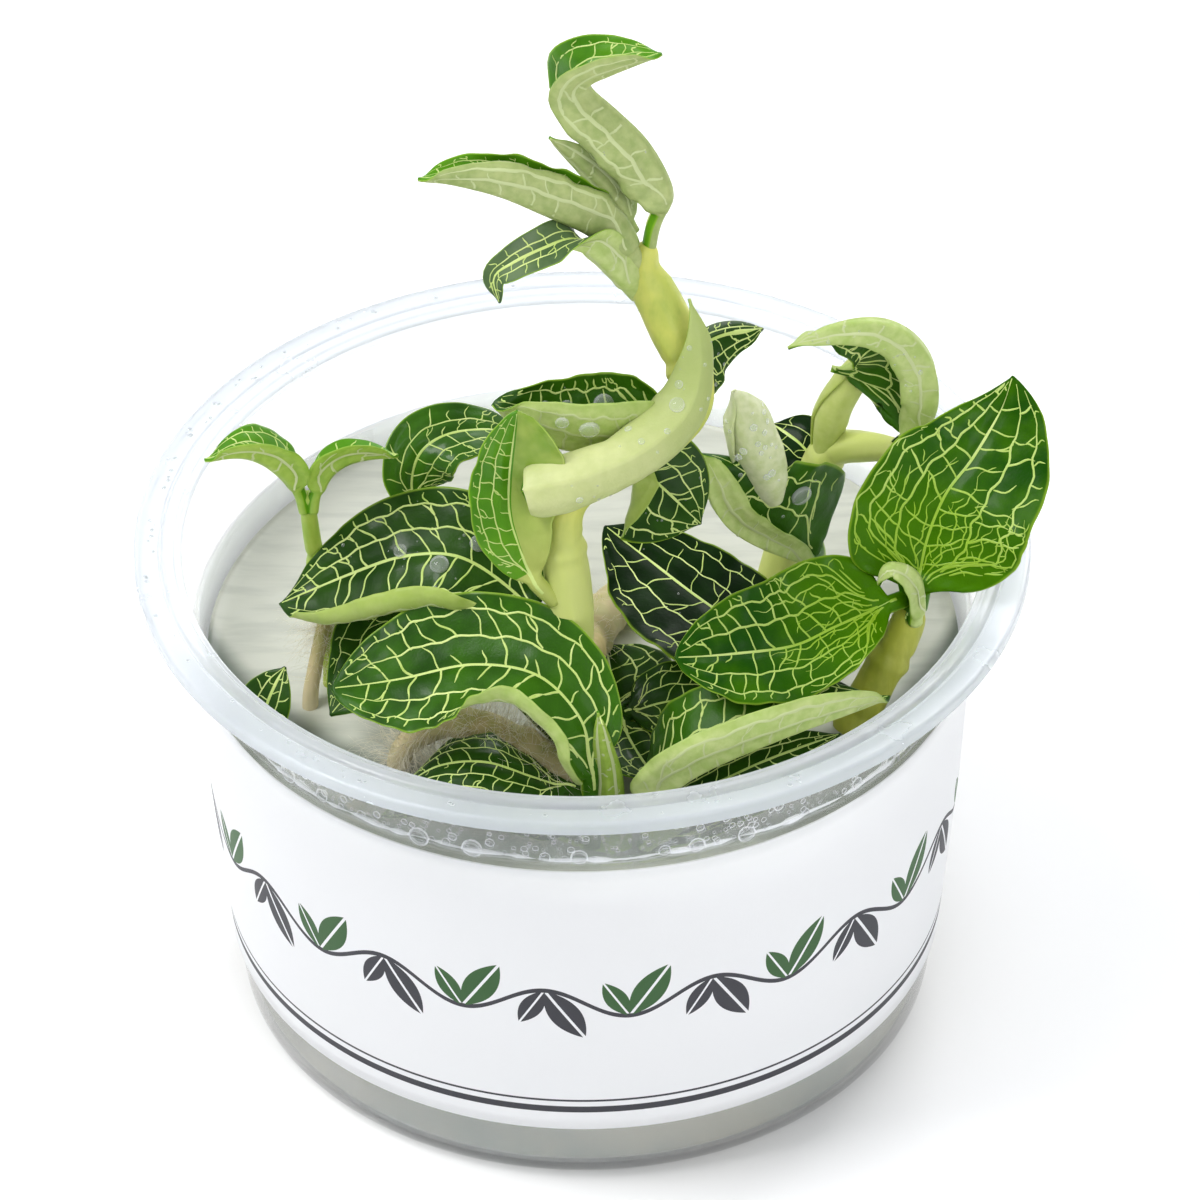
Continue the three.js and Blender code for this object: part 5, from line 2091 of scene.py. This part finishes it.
LEAVES = [
    Leaf(
        "leaf_sheath_pale", Tint.CREAM, net=Net.FAINT, stalk=0, stalk_width=0.1, quilt=0.05, ripple=0.1,
        spine=[
            (-6.4, -22.4, 84.3), (-3.5, -22.4, 84.8), (-0.3, -22, 85.4), (4.9, -20.2, 86.4),
            (9.3, -17.2, 87.6), (11.8, -14.7, 89.2), (12.9, -12.5, 92), (12.9, -10.9, 95.5),
            (11.8, -8.8, 99.5),
        ],
        facing=[BACK, BACK, BACK, (-0.2, 0.75, -0.6), (-0.5, 0.75, -0.3)],
        left=Half(6.2, 0.12, 0.9, fold=5, curl=(95, 110, 118, 105, 90, 70, 30)),
        right=Half(7.6, 0.2, 1.0, fold=5, curl=(120, 135, 130, 80, 48, 40, 40)),
    ),
    Leaf(
        "leaf_front_left", Tint.BRIGHT, stalk=0.12,
        spine=[
            (0.5, -29, 46), (0.5, -30, 53), (-0.5, -29, 58), (-5, -26, 61.5), (-12, -24, 61.5),
            (-20, -24.5, 60), (-27.5, -25.5, 59.5),
        ],
        facing=[(0.3, -0.5, 0.7), (0, -0.5, 0.85), (-0.2, -0.4, 0.9), (-0.2, -0.5, 0.85)],
        left=Half(9.2, 0.4, 0.45, fold=5, curl=(120, 145, 135, 25, 10), lip=1.8),
        right=Half(8.1, 0.8, 0.6, fold=5, curl=(10, 25, 30, 20)),
    ),
    Leaf(
        "leaf_right_broad", Tint.SUN, net=Net.TANGLED, stalk=0.08,
        spine=[
            (35.5, -12, 60.5), (32, -14, 60.5), (27.5, -17, 60.5), (23, -19.5, 60), (16.5, -22, 61),
            (10, -24.5, 62.5),
        ],
        facing=[(-0.1, -0.6, 0.8)], left=Half(7, 0.6, 0.42, fold=5, curl=20),
        right=Half(8.2, 0.25, 0.5, fold=5, curl=15),
    ),
    Leaf(
        "leaf_right_upright", Tint.SUN, net=Net.TANGLED, stalk_width=1.6,
        spine=[
            (36.5, -11.5, 59), (37, -11, 62), (38, -9.5, 67), (40, -7.5, 71.5), (43, -5, 74.5),
            (46, -2, 78.5), (47.5, 0, 82),
        ],
        facing=[(0, -0.75, 0.65), (-0.1, -0.75, 0.65), (-0.1, -0.75, 0.6)],
        left=Half(9, 0.28, 0.85, fold=5, curl=15), right=Half(11, 0.32, 0.6, fold=5, curl=15),
    ),
    Leaf(
        "leaf_front_right", Tint.BRIGHT, stalk=0.04,
        spine=[
            (5.5, -29.5, 46), (8, -30.5, 49), (12.5, -31, 53), (19, -30, 55.5), (26, -27.5, 56.5),
            (33.5, -23, 55.5),
        ],
        facing=[(0, -0.1, 1)], left=Half(9, 0.25, 0.75, fold=10, curl=10),
        right=Half(5.4, 0.4, 0.55, fold=40, curl=(80, 90, 90, 60)),
    ),
    Leaf(
        "leaf_centre_upright", Tint.PALE, stalk=0.15, lit_right=True,
        spine=[
            (-3, -20.8, 67.8), (-5.3, -21, 71), (-6.8, -20.8, 75.2), (-7.8, -20, 79.2),
            (-7.8, -19, 83.2), (-7.3, -18.5, 88), (-6.8, -18.5, 92),
        ],
        facing=[(0, -1, 0.1), (0, -1, 0.1), (0, -1, 0.3)], left=Half(4.6, 0.6, 0.55, fold=12, curl=20),
        right=Half(6.2, 0.7, 0.35, fold=12, curl=15),
    ),
    Leaf(
        "leaf_centre_trough", Tint.BRIGHT, stalk=0.08, ripple=0.06,
        spine=[
            (12, -9.5, 84.5), (8, -11, 83.2), (3, -12.5, 82.8), (-2, -13.5, 84), (-6, -14, 86.5),
            (-9.5, -14, 89.5),
        ],
        facing=[(0, 0.15, 1)], left=Half(8.2, 0.3, 0.5, fold=35, curl=55),
        right=Half(8.2, 0.3, 0.5, fold=35, curl=60),
    ),
    Leaf(
        "leaf_left_broad", Tint.DARK, stalk=0.2,
        spine=[
            (-1, -22, 59.5), (-4, -18, 61.5), (-8, -14.5, 64.5), (-13.5, -12, 67), (-19.5, -10.5, 66),
            (-26, -10, 63), (-33.5, -10, 59),
        ],
        facing=[(0.4, -0.4, 0.7), (0.1, -0.4, 0.9), (-0.1, -0.3, 0.9), (-0.2, -0.3, 0.9)],
        left=Half(12, 0.6, 0.6, fold=-10, curl=(60, 150, 175, 175, 150), lip=2.6),
        right=Half(7.6, 0.5, 0.85, fold=5, curl=(20, 35, 35, 20)),
    ),
    Leaf(
        "leaf_crown_hooked", Tint.PALE, stalk=0.16, stalk_width=0.8,
        spine=[
            (7.5, -4.5, 103), (8, -4.5, 106), (9, -4.5, 109.5), (8.5, -4, 112), (6.5, -3.5, 116),
            (3.5, -3, 119.5), (1, -3, 122.5), (1, -3.5, 124.5), (4.5, -4, 126.5), (9, -4.5, 128.5),
        ],
        facing=[
            (-0.8, 0, -0.3), (-0.8, 0, -0.5), (-0.8, 0, -0.6), (-0.85, 0, -0.5), (-1, 0, 0.2),
            (-0.2, 0.1, 1), (-0.1, 0.1, 1),
        ],
        left=Half(6.2, 0.35, 0.6, fold=(20, 30, 40, 30, 20), curl=(95, 60, 40, 50, 40)),
        right=Half(5, 0.3, 0.5, fold=20, curl=(100, 100, 90, 70, 60)),
    ),
    Leaf(
        "leaf_crown_rolled", Tint.PALE, stalk=0.14, stalk_width=1.2,
        spine=[
            (6.5, -5, 100), (4.5, -6, 105), (1.5, -7, 108.5), (-3, -8, 111.5), (-8, -9, 114.5),
            (-13, -9.5, 116), (-17, -10, 116.5),
        ],
        facing=[(-0.3, 0.3, 0.8), (0, 0.3, 0.85), (0, 0.3, 0.85)],
        left=Half(4.4, 0.35, 0.55, fold=15, curl=(100, 140, 140, 120, 50)),
        right=Half(5, 0.35, 0.55, fold=15, curl=(100, 135, 130, 110, 40)),
    ),
    Leaf(
        "leaf_crown_flap", Tint.PALE, stalk_width=0.6,
        spine=[(6, -4, 105), (4, -3.5, 109), (1, -3.5, 113), (-3, -4, 117.5)], facing=[(-0.4, 0.6, 0.6)],
        left=Half(2.4, 0.3, 0.7, fold=20, curl=20), right=Half(1.6, 0.3, 0.7, fold=10, curl=10),
    ),
    Leaf(
        "leaf_crown_twisted", Tint.MIST, stalk_width=1.2,
        spine=[
            (6.5, -5.5, 98), (4, -7, 102.5), (1.5, -8.5, 106.5), (-1, -9.5, 108), (-4, -10.5, 107.5),
            (-7, -11.5, 106.5), (-9, -12, 105), (-8.5, -12.5, 102),
        ],
        facing=[
            (0, 0.8, 0.3), (-0.2, 0.8, 0.5), (-0.2, 0.6, 0.6), (-0.1, -0.5, 0.8), (-0.3, -0.7, 0.5),
            (-0.4, -0.8, 0.2),
        ],
        **halves(3, 2.7, 0.35, 0.6, fold=8, curl=30),
    ),
    Leaf(
        "leaf_behind_stem", Tint.DARK, stalk=0.18, stalk_width=0.7,
        spine=[(11.5, -8, 89.5), (12.5, -5.5, 90), (15.5, -2, 89.5), (20, 1, 88)], facing=[(0, -0.3, 0.95)],
        left=Half(1.6, 0.4, 0.5, fold=10, curl=10), right=Half(5.6, 0.12, 0.9, fold=-55, curl=0),
    ),
    Leaf(
        "leaf_right_folded", Tint.BRIGHT, stalk=0.26,
        spine=[
            (25, 5.5, 58.5), (26, 2, 57.5), (26, -1, 57.5), (23.5, -3, 60), (18.5, -5.5, 64.5),
            (15.5, -6.5, 68), (14, -6.5, 72), (13, -5.5, 76),
        ],
        facing=[(0.1, -0.1, 1), (0.3, -0.1, 1), (0.8, -0.1, 0.6), (0.9, -0.1, 0.4), (0.9, -0.1, 0.2)],
        left=Half(3.9, 0.6, 0.3, fold=80, curl=5), right=Half(11.5, 0.22, 0.6, fold=62, curl=10),
    ),
    Leaf(
        "leaf_back_hooked", Tint.BRIGHT, stalk=0.05,
        spine=[
            (35, 1, 71.5), (37, 1.5, 73.5), (38.4, 1.5, 77.5), (38.1, 1.5, 82.2), (36, 1, 86.4),
            (32.6, 0.5, 88.8), (28, -0.5, 89.2), (22.7, -2, 87.6),
        ],
        facing=[
            (-0.6, 0.1, 0.7), (-0.9, 0.1, 0.3), (-0.95, 0.1, -0.2), (-0.3, 0, -0.95), (-0.1, -0.2, -1),
        ],
        left=Half(11.5, 0.3, 0.95, fold=(70, 75, 80, 70, 40), curl=(0, 0, 20, 40)),
        right=Half(3.8, 0.35, 0.75, fold=25, curl=(150, 80, 70, 60, 60)),
    ),
    Leaf(
        "leaf_centre_pointed", Tint.DARK, stalk=0.12,
        spine=[(5, -15.2, 80.3), (5.5, -12.5, 79.5), (8, -11, 76.5), (13, -11, 70.5)],
        facing=[(-0.1, -0.7, 0.7)], left=Half(6, 0.5, 0.75, fold=5, curl=10),
        right=Half(7.5, 0.5, 0.75, fold=5, curl=15),
    ),
    Leaf(
        "leaf_right_under", Tint.SHADE, net=Net.SPARSE, stalk=0.25,
        spine=[
            (30, -13.5, 47.5), (23.5, -12, 51), (17.5, -8, 53.5), (12, -3.5, 55), (7, 1, 56.5),
            (2.5, 4, 58.5),
        ],
        facing=[(0, -0.1, 1), (0, -0.15, 1)], left=Half(9.5, 0.4, 0.6, fold=0, curl=10),
        right=Half(7, 0.4, 0.6, fold=0, curl=15),
    ),
    Leaf(
        "leaf_back_left", Tint.BRIGHT,
        spine=[
            (-18, 3.5, 60.5), (-19, 4.5, 64), (-18, 6, 67.5), (-15, 7.5, 69), (-10.5, 9, 68.5),
            (-6.5, 10, 66.5),
        ],
        facing=[(0.5, -0.7, 0.4), (0.2, -0.5, 0.8), (0, -0.3, 0.95), (0, -0.2, 0.95)],
        **halves(4, 4.8, 0.35, 0.6, fold=0, curl=20),
    ),
    Leaf(
        "leaf_back_small", Tint.DARK, stalk=0.2,
        spine=[(-19.5, 4, 53.5), (-20.5, 5, 56.5), (-22.5, 6, 57.5), (-25, 5.5, 56.5)],
        facing=[(0, -0.2, 0.95), (0, -0.4, 0.9)], **halves(3.4, 3.4, 0.4, 0.5, fold=0, curl=-20),
    ),
    Leaf(
        "sprout_leaf_left", Tint.FRESH, stalk=0.2, stalk_width=0.7,
        spine=[
            (-30.4, -8, 70.5), (-30.9, -8, 73), (-32, -8.5, 76), (-34.3, -9.5, 79), (-37, -10.5, 80.5),
            (-41, -11, 80),
        ],
        facing=[(0.6, 0, 0.8), (0.3, 0.1, 0.9), (0, 0.1, 1)], left=Half(3.4, 0.6, 0.9, fold=50, curl=10),
        right=Half(4.2, 0.6, 0.9, fold=25, curl=5),
    ),
    Leaf(
        "sprout_leaf_right", Tint.FRESH, stalk=0.2, stalk_width=0.7,
        spine=[
            (-29.6, -8, 70.5), (-29.2, -8, 73), (-28, -7.5, 75.5), (-26, -7, 76.8), (-23.5, -6.5, 77),
            (-20, -6, 76.5),
        ],
        facing=[(-0.6, 0, 0.8), (-0.3, 0.1, 0.9), (0, 0.1, 1)], left=Half(2.8, 0.6, 0.9, fold=20, curl=5),
        right=Half(3.2, 0.6, 0.9, fold=50, curl=10),
    ),
    Leaf(
        "leaf_left_under", Tint.DARK, net=Net.SPARSE, stalk=0.5,
        spine=[
            (-2, -25, 51), (-12.5, -12, 54), (-17, -9, 56), (-21, -10.5, 55.5), (-24, -14.5, 53),
            (-28, -18.5, 50),
        ],
        facing=[(0, -0.3, 0.95), (-0.2, -0.6, 0.8), (-0.4, -0.7, 0.6)], **halves(6, 6, fold=0, curl=15),
    ),
    Leaf(
        "leaf_front_low", Tint.DARK,
        spine=[(-0.5, -29, 47), (-6, -30.5, 51), (-11, -31, 53.5), (-16, -30.5, 52.5), (-20, -29, 48)],
        facing=[FLAT], **halves(4.5, 5, fold=0, curl=-25),
    ),
    Leaf(
        "leaf_small_left", Tint.DARK, stalk_width=0.7,
        spine=[(-36, -16, 46), (-35, -15.5, 49.5), (-34, -14.5, 51.5), (-33, -13.5, 53)],
        facing=[(-0.2, -0.7, 0.7)], **halves(3.2, 3, 0.5, 0.9, fold=5, curl=15),
    ),
    Leaf(
        "leaf_right_collar", Tint.BRIGHT,
        spine=[(36.5, -13, 58), (36.5, -13, 63), (35.5, -13, 65), (33.5, -13.5, 66), (32.5, -14, 64)],
        facing=[(-0.8, -0.2, -0.3), (-0.4, -0.2, -0.8), (0.3, -0.3, -0.9)],
        **halves(2.2, 2.2, fold=20, curl=40),
    ),
    Leaf(
        "leaf_front_under", Tint.DARK, stalk=0.12,
        spine=[(6.5, -29, 45), (13, -30.5, 49), (20, -30, 52.5), (28, -27, 53.5)], facing=[FLAT],
        **halves(4, 4, fold=0, curl=10),
    ),
    Leaf(
        "rosette_leaf_back", Tint.DARK, stalk=0.12,
        spine=[(4, -16, 47), (3.5, -13, 48), (3, -9, 48), (2.5, -4, 48)], facing=[FLAT],
        **halves(5, 7, 0.5, 0.6, fold=5, curl=10),
    ),
    Leaf(
        "rosette_leaf_right", Tint.DARK, stalk=0.12,
        spine=[(4, -16, 47), (7.5, -15.5, 48.5), (12, -15, 49), (17, -14.5, 48.5)], facing=[FLAT],
        **halves(5, 5.5, fold=5, curl=10),
    ),
    Leaf(
        "rosette_leaf_front", Tint.DARK, stalk=0.12,
        spine=[(4, -16, 47), (5, -19.5, 47), (6.5, -23.5, 47), (8, -27.5, 47.5)], facing=[FLAT],
        **halves(5.5, 4.5, fold=5, curl=10),
    ),
    Leaf(
        "leaf_back_shaded", Tint.SHADE, net=Net.SPARSE, stalk=0.12,
        spine=[(26.5, 7.5, 64), (24.5, 9, 66), (21.5, 12, 66.5)], facing=[(0, -0.5, 0.8)],
        **halves(3.5, 3.5, fold=0, curl=10),
    ),
    Leaf(
        "leaf_front_sheath", Tint.FRESH, stalk=0, stalk_width=0.2,
        spine=[(2.5, -29.5, 45), (2.5, -30, 50.5), (2, -30.5, 55.5), (1.5, -30.5, 60)], facing=[BACK],
        **halves(2.1, 2.2, 0.06, 0.7, fold=5, curl=50),
    ),
]


# ---------- The plant


@dataclass(frozen=True)
class Orchid:
    """The whole plant: stems, roots, buds and leaves, with the water on them."""

    finish: Finish

    def stems(self) -> None:
        """Builds the stems and roots."""
        skins = {name: self.finish.root for name in ("root_creeping", "root_hairy", "root_left")}
        sprouts = ("stem_sprout", "stem_back_left", "stem_small_left")
        skins.update({name: self.finish.sprout for name in sprouts})
        skins["stem_right"] = self.finish.olive
        for shoot in SHOOTS:
            slot = "root_brown" if shoot.name.startswith("root") else "stem_green"
            shoot.build(skins.get(shoot.name, self.finish.stem), slot)
        for bud, skin in zip(BUDS, (self.finish.bud, self.finish.sheath)):
            bud.build(skin, "leaf_pale")

    def hairs(self) -> None:
        """Builds the root hairs."""
        shoots = {shoot.name: shoot for shoot in SHOOTS}
        coats = (
            ("root_hairy", Hairs("hairs_front", 1500, 5.5, 0.05, (0.03, 0.9))),
            ("root_left", Hairs("hairs_left", 90, 3.0, 0.04, (0.05, 0.5))),
            ("stem_sprout", Hairs("hairs_sprout", 420, 5.0, 0.045, (0.34, 0.5))),
            ("root_creeping", Hairs("hairs_creeping", 200, 1.6, 0.04, (0.2, 0.9))),
        )
        for carrier, hairs in coats:
            hairs.build(shoots[carrier], self.finish.hair, "root_brown")

    def blades(self) -> None:
        """Builds the leaves."""
        slots = {entry["node"]: entry["material_slot"] for entry in frame["record"]["subparts"]}
        for leaf in LEAVES:
            leaf.build(self.finish, slots[leaf.name])

    def dew(self) -> None:
        """Builds the drops on the leaves."""
        drops = Drops("leaf_drops", 8, 16)
        leaves = {leaf.name: leaf for leaf in LEAVES}
        dice = random.Random("dew")
        large = {
            ("leaf_left_broad", False): ((0.5, -0.12, 1.1), (0.62, 0.1, 0.8), (0.42, 0.3, 1.0)),
            ("leaf_right_folded", False): ((0.5, 0.6, 1.3),),
            ("leaf_centre_trough", False): ((0.4, 0.55, 1.2), (0.62, 0.5, 0.9), (0.75, 0.45, 0.8)),
            ("leaf_centre_trough", True): ((0.55, -0.55, 1.2), (0.72, -0.6, 0.8)),
            ("leaf_sheath_pale", True): ((0.62, 0.3, 0.9), (0.7, 0.55, 0.5)),
        }
        for (name, under), spots in large.items():
            for t, v, radius in spots:
                self.lay(drops, leaves[name], t, v, radius, under)
        sprinkled = (
            ("leaf_left_broad", 34, 0.08, 0.4, False),
            ("leaf_centre_trough", 22, 0.1, 0.55, False),
            ("leaf_sheath_pale", 20, 0.1, 0.5, True),
            ("leaf_right_folded", 16, 0.1, 0.4, False),
            ("leaf_back_hooked", 26, 0.1, 0.35, True),
            ("leaf_centre_pointed", 10, 0.1, 0.3, False),
            ("leaf_behind_stem", 8, 0.1, 0.3, False),
            ("leaf_right_under", 10, 0.1, 0.35, False),
            ("leaf_crown_hooked", 8, 0.08, 0.25, True),
        )
        for name, count, low, high, under in sprinkled:
            for _ in range(count):
                radius = low + (high - low) * dice.random() ** 3
                t, v = dice.uniform(0.15, 0.92), dice.uniform(-0.9, 0.9)
                self.lay(drops, leaves[name], t, v, radius, under)
        count = 24
        t = np.sort(np.array([dice.uniform(0.3, 0.95) for _ in range(count)]))
        turn = np.array([dice.uniform(3.6, 6.2) for _ in range(count)])
        skin, out = BUDS[0].skin(t, turn)
        for i in range(count):
            drops.add(skin[i, i] + out[i, i] * 0.1, out[i, i], dice.uniform(0.15, 0.5))
        drops.build(self.finish.dew, "clear_plastic")

    @staticmethod
    def lay(drops: Drops, leaf: Leaf, t: float, v: float, radius: float, under: bool) -> None:
        """Lays a drop on a leaf.

        Args:
            drops: the drops.
            leaf: the leaf.
            t: the place along it.
            v: the place across it.
            radius: the drop's radius in millimetres.
            under: whether it hangs on the underside.
        """
        spot, normal = leaf.face(np.array([t]), np.array([v]), under)
        drops.add(spot[0], normal[0], radius)


def main() -> None:
    """Builds the plant, its cup and the studio."""
    logging.basicConfig(level=logging.INFO, format="%(name)s %(message)s")
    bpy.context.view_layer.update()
    finish = Finish()
    Studio().build()
    cup = Cup(finish)
    cup.shell()
    cup.gel()
    cup.label()
    cup.condensation()
    cup.bead()
    plant = Orchid(finish)
    plant.stems()
    plant.hairs()
    plant.blades()
    plant.dew()
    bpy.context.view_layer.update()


if __name__ == "__main__":
    main()
